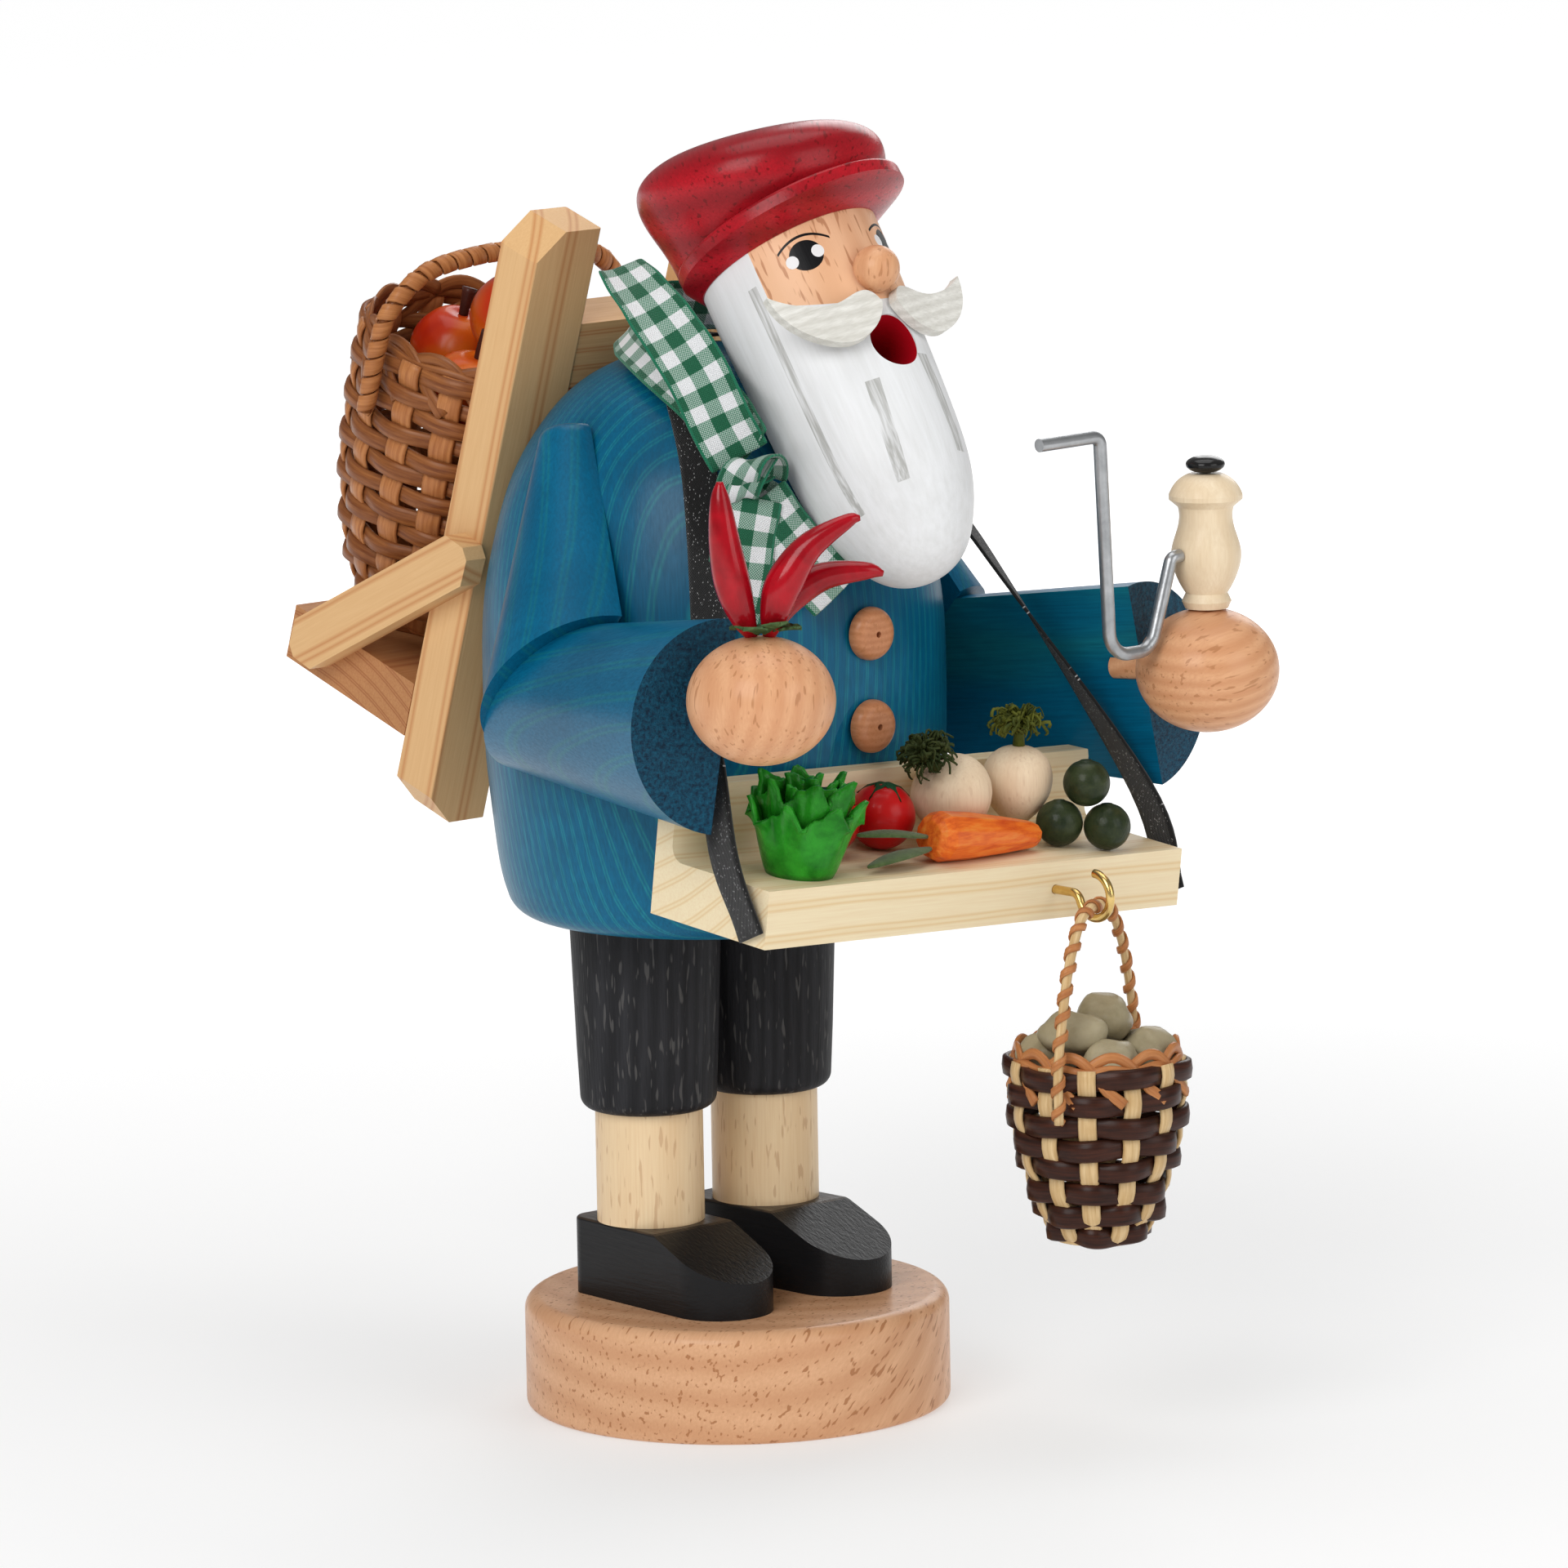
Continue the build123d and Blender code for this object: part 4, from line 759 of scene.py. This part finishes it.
scarf_strip(
    "scarf_inner_tail",
    [(-19.8, -31.6, 150.4), (-16.6, -33.6, 144.6), (-12.4, -35.4, 139.0), (-8.8, -37.0, 134.6)],
    [(0.7, -0.3, 0.5), (0.72, -0.3, 0.6), (0.75, -0.3, 0.55), (0.7, -0.3, 0.6)], 0.0007)
knot_parts = []
knot_centre = mm(-20.4, -30.4, 153.2)
for lean, size, seed in ((0.0, 1.0, 3.0), (0.9, 0.86, 5.0)):
    loop = [knot_centre + Vector((math.cos(a) * 3.1 * size, -math.sin(a) * 2.0 * size - 0.2,
                                  math.sin(a + lean) * 3.3 * size)) * MM
            for a in (2 * math.pi * k / 24 for k in range(25))]
    directions = [Vector((0.55, -0.75, 0.35 + 0.3 * lean))] * len(loop)
    knot_parts.append(band(loop, directions, 6.2 * MM * size, 8, 0.0007))
knot_mesh = joined(knot_parts)
make_piece("scarf_knot", *knot_mesh[:2], materials["gingham"], "figure", (), "gingham_ribbon",
           uvs=knot_mesh[2],
           thickness=0.0005, subdivide=1)


# ---------------------------------------------------------------- goods in the right hand
low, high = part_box("chili_leaves")
chili_foot = Vector(((low.x + high.x) / 2, (low.y + high.y) / 2, low.z))
chili_routes = (
    (((-1.2, 0.8, -0.5), (-2.6, 1.5, 3.0), (-3.7, 2.4, 8.0), (-4.6, 3.0, 14.5),
      (-4.9, 3.4, 20.5), (-4.9, 3.4, 23.2)),
     (0.9, 2.1, 2.75, 2.35, 1.5, 0.5)),
    (((0.5, -0.9, -0.5), (1.0, -1.7, 3.0), (2.0, -2.9, 7.6), (5.0, -5.1, 13.0),
      (9.8, -8.6, 16.8), (11.4, -9.8, 17.3)),
     (0.9, 2.2, 2.85, 2.2, 1.15, 0.45)),
    (((1.6, 0.3, -0.4), (3.8, 0.7, 2.4), (6.6, 0.0, 5.4), (10.6, -2.6, 7.9),
      (15.6, -6.4, 8.5), (17.6, -7.9, 8.0)),
     (0.8, 1.9, 2.45, 2.1, 1.35, 0.45)),
)
chili_mesh = joined([
    tube([chili_foot + Vector(p) * MM for p in smooth_path(route, 6)],
         [r * MM for r in smooth_values(radii, 6)], 16)
    for route, radii in chili_routes])
make_piece("chili_peppers", *chili_mesh[:2], materials["chili"], "figure", ["chilies"], "red_chili",
           uvs=chili_mesh[2])

leaf_parts = []
for heading, lift, size in ((200, 0.5, 5.2), (262, 0.75, 4.8), (318, 0.35, 5.0), (120, 0.4, 4.2),
                            (20, 0.3, 4.0)):
    out = Vector((math.cos(math.radians(heading)), math.sin(math.radians(heading)), 0))
    tip = (out + Vector((0, 0, lift))).normalized()
    side = out.cross(Vector((0, 0, 1))).normalized()
    verts, faces, uvs = [], [], []
    for i in range(9):
        t = i / 8
        spine = chili_foot + tip * (size * t * MM) + Vector((0, 0, -1.1 * t * t * MM)) + out * (1.2 * MM)
        half = (1.9 * math.sin(math.pi * min(1, t * 0.92 + 0.08)) ** 0.7 + (0.75 if i % 2 else -0.15)) * MM
        half = 0.1 * MM if i == 8 else max(half, 0.25 * MM)
        crease = Vector((0, 0, 0.5 * MM))
        verts += [spine - side * half + crease, spine, spine + side * half + crease]
        uvs += [(0, t * 0.005), (0.001, t * 0.005), (0.002, t * 0.005)]
    for i in range(8):
        a = i * 3
        faces += [(a, a + 1, a + 4, a + 3), (a + 1, a + 2, a + 5, a + 4)]
    leaf_parts.append((verts, faces, uvs))
leaf_mesh = joined(leaf_parts)
make_piece("chili_calyx", *leaf_mesh[:2], materials["leaf"], "figure", ["chili_leaves"], "leaf_green",
           uvs=leaf_mesh[2], smooth=False, thickness=0.00028)

# ---------------------------------------------------------------- goods on the tray
tray_up = Vector((0.049, -0.094, 0.994)).normalized()
tray_along = (Vector((1, 0, -0.049)) - tray_up * Vector((1, 0, -0.049)).dot(tray_up)).normalized()
tray_back = tray_up.cross(tray_along)


def on_tray(x, y, height):
    """A place on the tray's shelf: along it, back from its inner edge, and above it, in millimetres."""
    return mm(0, -31.2, 86.3) + tray_along * (x * MM) + tray_back * (y * MM) + tray_up * ((9.1 + height) * MM)


lettuce_parts = []
for ring_index, (foot, rim, top, waves, start) in enumerate(
    ((4.9, 8.4, 12.6, 7, 0.0), (4.0, 6.6, 13.8, 6, 0.8), (2.4, 4.4, 13.2, 5, 1.9), (1.0, 2.2, 14.2, 3, 0.4))
):
    verts, faces, uvs = [], [], []
    rows, sides = 12, 72
    for i in range(rows + 1):
        t = i / rows
        for k in range(sides):
            a = 2 * math.pi * k / sides
            ruffle = t ** 3
            radius = foot + (rim - foot) * t ** 0.8 + ruffle * (1.0 * math.sin(waves * a + start)
                                                                + 0.45 * math.sin(waves * 3 * a + start * 2))
            height = 0.1 + top * t + ruffle * (1.5 * math.sin(waves * a + start + 1.4)
                                               + 0.8 * math.sin(waves * 2.0 * a + start))
            height -= 2.4 * ruffle if ring_index == 0 else 0.0
            centre = on_tray(-30.1, -18.6, min(height, 15.5))
            verts.append(centre + tray_along * (radius * math.cos(a) * MM)
                         + tray_back * (radius * math.sin(a) * MM))
            uvs.append((a * 0.005, t * 0.012))
    for i in range(rows):
        for k in range(sides):
            a, b = i * sides + k, i * sides + (k + 1) % sides
            faces.append((a, b, b + sides, a + sides))
    lettuce_parts.append((verts, faces, uvs))
lettuce_mesh = joined(lettuce_parts)
make_piece("lettuce_head", *lettuce_mesh[:2], materials["lettuce"], "figure", ["lettuce"], "leaf_green",
           uvs=lettuce_mesh[2], thickness=0.0007)

calyx_parts = []
for x, y, heading in ((-17.0, -9.4, 0.3), (-5.4, -9.4, 0.9)):
    centre = on_tray(x, y, 5.3)
    verts = [centre + tray_up * (5.32 * MM)]
    points = 5
    for k in range(points * 2):
        a = heading + math.pi * k / points
        polar = math.radians(54 if k % 2 == 0 else 17)
        out = tray_along * math.cos(a) + tray_back * math.sin(a)
        verts.append(centre + (out * math.sin(polar) + tray_up * math.cos(polar)) * (5.32 * MM))
    middle = len(verts)
    for k in range(points * 2):
        a = heading + math.pi * k / points
        polar = math.radians(31 if k % 2 == 0 else 12)
        out = tray_along * math.cos(a) + tray_back * math.sin(a)
        verts.append(centre + (out * math.sin(polar) + tray_up * math.cos(polar)) * (5.34 * MM))
    faces = []
    for k in range(points * 2):
        n = (k + 1) % (points * 2)
        faces += [(0, middle + k, middle + n), (middle + k, 1 + k, 1 + n, middle + n)]
    calyx_parts.append((verts, faces, [(0, 0)] * len(verts)))
calyx_mesh = joined(calyx_parts)
make_piece("tomato_calyx", *calyx_mesh[:2], materials["calyx"], "figure", (), "leaf_green", uvs=calyx_mesh[2],
           thickness=0.0002)

turnip_parts = []
turnip_tops = []
turnip_profile = ((0.0, 0.25), (0.9, 0.9), (2.4, 2.1), (4.4, 4.4), (6.8, 6.0), (9.4, 6.45),
                  (11.8, 5.7), (13.4, 3.8),
                  (14.1, 1.6), (14.2, 0.4))
for foot, head, plump in ((on_tray(13.6, -10.9, 1.4), on_tray(4.1, -10.7, 12.4), 1.0),
                          (on_tray(22.0, -10.9, 0.3), on_tray(21.2, -10.7, 14.9), 0.86)):
    axis = (head - foot).normalized()
    reach = (head - foot).length / 0.0142
    route = [foot + axis * (h * MM * reach) for h, _ in turnip_profile]
    radii = [r * plump * MM for _, r in turnip_profile]
    turnip_parts.append(tube(smooth_path(route, 4), [max(r, 0.0001) for r in smooth_values(radii, 4)], 32))
    turnip_tops.append((head, axis))
turnip_mesh = joined(turnip_parts)
make_piece("turnip_roots", *turnip_mesh[:2], turnip_wood, "figure", ["turnips"], "turnip", uvs=turnip_mesh[2])

rng = random.Random(11)
for index, (head, axis) in enumerate(turnip_tops):
    side = axis.cross(Vector((0, 1, 0))).normalized()
    other = axis.cross(side)
    blades = [tube([head + axis * (t * 4.2 * MM) for t in (0, 0.5, 1)], [1.0 * MM, 0.8 * MM, 1.1 * MM], 8)]
    for _ in range(150):
        a = rng.uniform(0, 2 * math.pi)
        spread = rng.uniform(0.6, 4.6)
        rise = rng.uniform(3.4, 7.2) - spread * 0.35
        curl = rng.uniform(-2.0, 2.0)
        out = side * math.cos(a) + other * math.sin(a)
        turn = side * -math.sin(a) + other * math.cos(a)
        start = head + axis * (rng.uniform(1.2, 3.2) * MM)
        bend = start + (out * spread * 0.6 + axis * rise * 0.5 + turn * curl * 0.4) * MM
        end = head + (out * spread + axis * min(rise, 6.8) + turn * curl) * MM
        hook = end + (turn * rng.uniform(-1.4, 1.4) - axis * rng.uniform(0.2, 1.4)) * MM
        width = rng.uniform(0.16, 0.34) * MM
        blades.append(tube(smooth_path([start, bend, end, hook], 2), width, 5, flat=0.5))
    tuft = joined(blades)
    make_piece(f"turnip_tuft_{index + 1}", *tuft[:2], materials["dark_moss" if index == 0 else "moss"],
               "figure",
               ["turnip_greens"] if index == 0 else (), "dry_greens", uvs=tuft[2])

carrot_head, carrot_tip = on_tray(-5.4, -20.6, 4.4), on_tray(18.8, -18.6, 2.4)
carrot_route = [carrot_head.lerp(carrot_tip, t) for t in (0.0, 0.03, 0.09, 0.35, 0.65, 0.93, 0.985, 1.0)]
carrot_radii = [r * MM for r in (2.4, 3.5, 4.1, 3.8, 3.1, 2.3, 1.9, 1.2)]
carrot_mesh = tube(carrot_route, carrot_radii, 10)
rng = random.Random(5)
carrot_verts = [v + Vector((rng.uniform(-1, 1), rng.uniform(-1, 1), rng.uniform(-1, 1))) * (0.13 * MM)
                for v in carrot_mesh[0]]
carrot = make_piece("carrot_root", carrot_verts, carrot_mesh[1], materials["carrot"], "figure", ["carrot"],
                    "carrot_orange", uvs=carrot_mesh[2], smooth=False)
carrot_bevel = carrot.modifiers.new("worn_edges", "BEVEL")
carrot_bevel.width = 0.0003
carrot_bevel.segments = 2

leaf_parts = []
for start_y, start_h, end_y, end_h, length in ((-20.0, 4.2, -18.0, 5.0, 13.4),
                                               (-21.0, 2.6, -23.2, 1.2, 15.4)):
    verts, faces, uvs = [], [], []
    for i in range(15):
        t = i / 14
        spine = on_tray(-5.0 - length * t, start_y + (end_y - start_y) * t,
                        start_h + (end_h - start_h) * t + 0.8 * math.sin(math.pi * t))
        half = (0.15 + 1.75 * math.sin(math.pi * t) ** 0.75) * MM
        verts += [spine - tray_back * half - tray_up * (half * 0.35), spine,
                  spine + tray_back * half - tray_up * (half * 0.2)]
        uvs += [(0, t * length * MM), (0.001, t * length * MM), (0.002, t * length * MM)]
    for i in range(14):
        a = i * 3
        faces += [(a, a + 1, a + 4, a + 3), (a + 1, a + 2, a + 5, a + 4)]
    leaf_parts.append((verts, faces, uvs))
leaf_mesh = joined(leaf_parts)
make_piece("carrot_leaf_pair", *leaf_mesh[:2], materials["carrot_leaf"], "figure", ["carrot_leaves"],
           "leaf_green", uvs=leaf_mesh[2], thickness=0.0006, subdivide=1)


# ---------------------------------------------------------------- wicker
def profile_radius(profile, height):
    """Radius of a basket's outline at a height, by straight runs between its stations."""
    for (h0, r0), (h1, r1) in zip(profile, profile[1:]):
        if height <= h1:
            return r0 + (r1 - r0) * (height - h0) / (h1 - h0)
    return profile[-1][1]


def strip_tube(points, width_dirs, half_width, half_thickness, sides=8, closed=False):
    """A flat cane strip with rounded edges, its width along width_dirs."""
    verts, faces, uvs = [], [], []
    run = 0.0
    count = len(points)
    for i, point in enumerate(points):
        run += (point - points[i - 1]).length if i else 0.0
        before = points[(i - 1) % count] if closed or i else point
        after = points[(i + 1) % count] if closed or i < count - 1 else point
        tangent = (after - before).normalized()
        wide = (width_dirs[i] - tangent * width_dirs[i].dot(tangent)).normalized()
        thin = tangent.cross(wide)
        for k in range(sides):
            a = 2 * math.pi * k / sides
            c, s = math.cos(a), math.sin(a)
            flat = math.copysign(abs(c) ** 0.6, c) * half_width
            verts.append(point + wide * flat + thin * (math.copysign(abs(s) ** 0.8, s) * half_thickness))
            uvs.append((flat, run))
    spans = count if closed else count - 1
    for i in range(spans):
        j = (i + 1) % count
        for k in range(sides):
            n = (k + 1) % sides
            faces.append((i * sides + k, i * sides + n, j * sides + n, j * sides + k))
    if not closed:
        faces.append(tuple(reversed(range(sides))))
        faces.append(tuple(range(len(verts) - sides, len(verts))))
    return verts, faces, uvs


def weave_basket(name, origin, axes, profile, stakes, rows, weaver, stake, swing, node_name, body, slot_name,
                 weaver_material, stake_material, rim_material, loops, seed):
    """A woven basket: upright stakes, weavers passing in front and behind, and a looped rim."""
    right, back, up = axes
    rng = random.Random(seed)
    height = profile[-1][0]

    def at(angle, radius, level):
        return origin + (right * math.cos(angle) + back * math.sin(angle)) * (radius * MM) + up * (level * MM)

    weavers = []
    samples = stakes * 10
    for row in range(rows):
        level = height * (row + 0.5) / rows
        lean = rng.uniform(-0.25, 0.25)
        points = []
        for k in range(samples):
            a = 2 * math.pi * k / samples
            radius = profile_radius(profile, level) - weaver[1] - swing
            radius += swing * math.sin(a * stakes / 2 + math.pi * row)
            wobble = 0.3 * math.sin(3 * a + row * 2.1) + lean
            points.append(at(a, radius, level + wobble))
        half = weaver[0] * rng.uniform(0.92, 1.06)
        weavers.append(strip_tube(points, [up] * samples, half * MM, weaver[1] * MM, 8, True))
    woven = joined(weavers)
    make_piece(name + "_weavers", *woven[:2], weaver_material, body, [node_name], slot_name, uvs=woven[2])

    uprights = []
    for k in range(stakes):
        angle = 2 * math.pi * (k + 0.5) / stakes + rng.uniform(-0.02, 0.02)
        points, dirs = [], []
        steps = rows * 4
        for i in range(steps + 1):
            level = height * i / steps
            phase = math.sin(angle * stakes / 2 + math.pi * (level / height * rows - 0.5))
            radius = profile_radius(profile, level) - weaver[1] - swing - swing * 0.55 * phase
            points.append(at(angle, radius, max(level, 0.4)))
            dirs.append(right * -math.sin(angle) + back * math.cos(angle))
        uprights.append(strip_tube(points, dirs, stake[0] * MM, stake[1] * MM, 8))
    floor_ring = [at(2 * math.pi * k / 40, profile[0][1] - 1.2, 0.6) for k in range(40)]
    uprights.append(strip_tube(floor_ring, [up] * 40, 0.6 * MM, 0.9 * MM, 8, True))
    for turn in range(1, int(profile[0][1] / 1.7)):
        ring = [at(2 * math.pi * k / 40, profile[0][1] - 1.2 - turn * 1.6, 0.7) for k in range(40)]
        uprights.append(strip_tube(ring, [right * math.cos(2 * math.pi * k / 40) + back
                                          * math.sin(2 * math.pi * k / 40) for k in range(40)],
                                   0.85 * MM, 0.4 * MM, 6, True))
    staked = joined(uprights)
    make_piece(name + "_stakes", *staked[:2], stake_material, body, (), slot_name, uvs=staked[2])

    rims = []
    top_radius = profile[-1][1]
    reach, drop, rise, loop_half = loops
    for k in range(stakes):
        start = 2 * math.pi * (k + 0.5) / stakes
        points, dirs = [], []
        for i in range(17):
            t = i / 16
            angle = start + reach * t * 2 * math.pi / stakes
            level = height + rise * math.sin(math.pi * min(1, t * 1.25)) - drop * t ** 2.2
            radius = top_radius - 2.3 + 1.5 * t ** 1.5 - 0.5 * math.sin(math.pi * t)
            points.append(at(angle, radius, level))
            dirs.append(up * (1 - 0.6 * t) + (right * -math.sin(angle) + back * math.cos(angle)) * 0.6 * t)
        rims.append(strip_tube(points, dirs, loop_half * MM, 0.42 * MM, 8))
    inner = [at(2 * math.pi * k / 96, top_radius - 2.0, height - 0.4 + 0.3 * math.sin(k * 0.7))
             for k in range(96)]
    rims.append(strip_tube(inner, [up] * 96, loop_half * MM, 0.5 * MM, 8, True))
    rimmed = joined(rims)
    make_piece(name + "_rim", *rimmed[:2], rim_material, body, (), slot_name, uvs=rimmed[2])


def wrapped_handle(name, route, core, wrap_half, pitch, wrap_thickness, node_name, body, slot_name,
                   core_material, wrap_material):
    """A bent cane hoop bound with a strip wound round it."""
    core_mesh = tube(route, core * MM, 12, flat=0.8)
    make_piece(name + "_core", *core_mesh[:2], core_material, body, [node_name], slot_name, uvs=core_mesh[2])
    frames = path_frames(route)
    lengths = [0.0]
    for a, b in zip(route, route[1:]):
        lengths.append(lengths[-1] + (b - a).length)
    turns = lengths[-1] / (pitch * MM)
    points, dirs = [], []
    steps = int(turns * 18)
    for i in range(steps + 1):
        want = lengths[-1] * i / steps
        reached = next((n for n, v in enumerate(lengths) if v >= want), len(lengths) - 1)
        j = min(max(0, reached - 1), len(route) - 2)
        part = (want - lengths[j]) / max(lengths[j + 1] - lengths[j], 1e-9)
        place = route[j].lerp(route[j + 1], part)
        tangent, normal, side = frames[j]
        a = 2 * math.pi * turns * i / steps
        reach = (core + wrap_thickness * 0.8) * MM
        points.append(place + normal * (math.cos(a) * reach) + side * (math.sin(a) * reach * 0.86))
        dirs.append(tangent)
    wrap_mesh = strip_tube(points, dirs, wrap_half * MM, wrap_thickness * MM, 8)
    make_piece(name + "_wrap", *wrap_mesh[:2], wrap_material, body, (), slot_name, uvs=wrap_mesh[2])


def frame_place(x, back, up):
    """A place in the tilted carrying frame, in millimetres."""
    return mm(x, 28.4, 144.4) + frame_back_dir * (back * MM) + frame_up_dir * (up * MM)


apple_origin = frame_place(0, 32.0, -35.25)
apple_axes = (Vector((1, 0, 0)), frame_back_dir, frame_up_dir)
weave_basket("apple_basket", apple_origin, apple_axes,
             ((0, 14.3), (6, 17.5), (12, 19.7), (24, 22.3), (36, 23.1), (48, 23.3)), 16, 14,
             (1.5, 0.62), (2.1, 0.45),
             0.75, "apple_basket", "figure", "brown_wicker", materials["brown_cane"], materials["wrap_cane"],
             materials["brown_cane"], (1.9, 6.5, 2.2, 1.25), 3)
apple_half = 23.6 + 1.6
apple_hoop = [Vector((-apple_half, 0, 38)), Vector((-apple_half, 0, 49)),
              Vector((-apple_half + 1.2, 0, 55.5)),
              Vector((-apple_half * 0.72, 0, 61.4)), Vector((-apple_half * 0.34, 0, 63.5)), Vector((0,
                  0, 63.8))]
apple_hoop += [Vector((-p.x, 0, p.z)) for p in apple_hoop[-2::-1]]
apple_route = [apple_origin + apple_axes[0] * (p.x * MM) + apple_axes[2] * (p.z * MM)
               for p in smooth_path(apple_hoop, 6)]
wrapped_handle("apple_handle", apple_route, 1.05, 1.35, 3.1, 0.32, "apple_basket_handle", "figure",
               "brown_wicker",
               materials["brown_cane"], materials["wrap_cane"])

apple_spots = ((-9.7, -7.0, 42.3, 1.0), (9.6, -7.2, 42.3, 2.0), (0.2, 9.4, 42.3, 3.0), (0.2, -3.4, 53.4, 4.0))


def apple_place(x, y, z):
    return apple_origin + apple_axes[0] * (x * MM) + apple_axes[1] * (y * MM) + apple_axes[2] * (z * MM)


apple_mesh = joined([
    ellipsoid(apple_place(x, y, z), [7.7 * MM, 7.7 * MM, 7.4 * MM], apple_axes, 0.03, seed, 24, 36, 0.16)
    for x, y, z, seed in apple_spots])
make_piece("apple_fruit", *apple_mesh[:2], materials["apple"], "figure", ["apples"], "apple_red",
           uvs=apple_mesh[2])
stem_parts = []
for x, y, z, seed in apple_spots:
    root = apple_place(x, y, z + 5.9)
    lean = Vector((math.sin(seed * 2.3), math.cos(seed * 1.7), 0)) * (0.9 * MM)
    stem_parts.append(tube(smooth_path([root, root + frame_up_dir * (2.6 * MM) + lean * 0.5,
                                        root + frame_up_dir * (5.0 * MM) + lean * 1.6], 3),
                           [r * MM for r in (0.75, 0.8, 0.85, 0.9, 1.0, 1.15, 1.3)], 10))
stem_mesh = joined(stem_parts)
make_piece("apple_stalks", *stem_mesh[:2], materials["stem"], "figure", ["apple_stems"], "dark_stem",
           uvs=stem_mesh[2])

# The hanging basket is placed from its joint: the hinge point is the middle of the hook's lowest wire.
swing = next(j for j in frame["record"]["behaviour"]["joints"] if j["name"] == "potato_basket_swing")
hook_wire = Vector(swing["pos_m"])
crown_level = hook_wire.z + (0.7 + 1.1 + 0.12) * MM
rim_level = crown_level - 23.5 * MM
basket_turn = math.radians(25)
potato_origin = Vector((hook_wire.x, hook_wire.y, rim_level - 29 * MM))
potato_axes = (Vector((math.cos(basket_turn), math.sin(basket_turn), 0)),
               Vector((-math.sin(basket_turn), math.cos(basket_turn), 0)), Vector((0, 0, 1)))
weave_basket("potato_basket", potato_origin, potato_axes,
             ((0, 7.6), (3, 9.6), (7.25, 11.3), (14.5, 13.6), (21.75, 14.7), (29, 15.0)), 12, 8,
             (1.75, 0.72), (1.45, 0.42),
             0.72, "potato_basket", "potato_basket", "brown_wicker", materials["dark_cane"],
             materials["pale_cane"], materials["wrap_cane"], (1.8, 5.4, 2.4, 0.9), 9)
potato_half = 15.0 + 1.1
potato_hoop = [Vector((-potato_half, 0, 21)), Vector((-potato_half - 0.1, 0, 29)),
               Vector((-potato_half + 1.6, 0, 36)),
               Vector((-potato_half * 0.72, 0, 44)), Vector((-potato_half * 0.42, 0, 50.6)),
               Vector((-2.6, 0, 52.35)),
               Vector((0, 0, 52.5))]
potato_hoop += [Vector((-p.x, 0, p.z)) for p in potato_hoop[-2::-1]]
potato_route = [potato_origin + potato_axes[0] * (p.x * MM) + Vector((0, 0, p.z * MM))
                for p in smooth_path(potato_hoop, 6)]
wrapped_handle("potato_handle", potato_route, 0.82, 0.62, 3.6, 0.24, "potato_basket_handle", "potato_basket",
               "pale_wicker", materials["pale_cane"], materials["wrap_cane"])

potato_spots = (
    (-6.6, -5.0, 29.0, 5.6, 4.3, 3.9, 0.3), (3.6, -7.0, 29.4, 5.6, 4.4, 3.9, 1.1),
    (8.0, 2.6, 29.0, 5.2, 4.3, 3.9, 2.0),
    (-3.6, 6.4, 29.6, 5.6, 4.3, 3.7, 2.9), (4.6, 8.0, 28.8, 4.8, 3.9, 3.6, 0.7),
    (1.8, -0.4, 34.6, 6.0, 4.6, 3.7, 4.0),
    (-6.4, 1.4, 33.4, 5.3, 4.1, 3.5, 5.2),
)
potato_parts = []
for x, y, z, a, b, c, turn in potato_spots:
    centre = potato_origin + potato_axes[0] * (x * MM) + potato_axes[1] * (y * MM) + Vector((0, 0, z * MM))
    spin = Matrix.Rotation(turn, 3, "Z") @ Matrix.Rotation(0.35 * math.sin(turn * 3), 3, "X")
    axes = tuple(spin @ axis for axis in (Vector((1, 0, 0)), Vector((0, 1, 0)), Vector((0, 0, 1))))
    potato_parts.append(ellipsoid(centre, (a * MM, b * MM, c * MM), axes, 0.16, turn, 18, 28))
potato_mesh = joined(potato_parts)
make_piece("potato_heap", *potato_mesh[:2], materials["potato"], "potato_basket", ["potatoes"], "potato",
           uvs=potato_mesh[2])

# ---------------------------------------------------------------- floor, with painted light: a glow that grows away from the figure
floor_mesh = bpy.data.meshes.new("studio_floor")
floor_mesh.from_pydata([(-6, -6, 0), (6, -6, 0), (6, 6, 0), (-6, 6, 0)], [], [(0, 1, 2, 3)])
floor_graph = Graph("floor_white_glow")
floor_tone = floor_graph.noise(floor_graph.place(), 3.0)
floor_white_glow = floor_graph.finish(
    floor_graph.mix(floor_tone, (0.50, 0.50, 0.50), (0.53, 0.53, 0.53)), 0.8, specular=0.05)
fx, fy, _ = floor_graph.split(floor_graph.place())
away = floor_graph.math("SQRT", floor_graph.math("ADD", floor_graph.math("MULTIPLY", fx, fx),
                                                 floor_graph.math("MULTIPLY", fy, fy)))
# Painted light: the floor glows weakly near the figure and more strongly further out, whitening the far floor
# where the lamps fall off and leaving the real contact shadow near the base.
floor_graph.shader.inputs["Emission Color"].default_value = (1, 1, 1, 1)
floor_graph.plug(floor_graph.shader.inputs["Emission Strength"],
                 floor_graph.ramp(away, (0.12, 0.44), (0.9, 0.86)))
floor_mesh.materials.append(floor_white_glow)
floor = bpy.data.objects.new("studio_floor", floor_mesh)
bpy.context.collection.objects.link(floor)
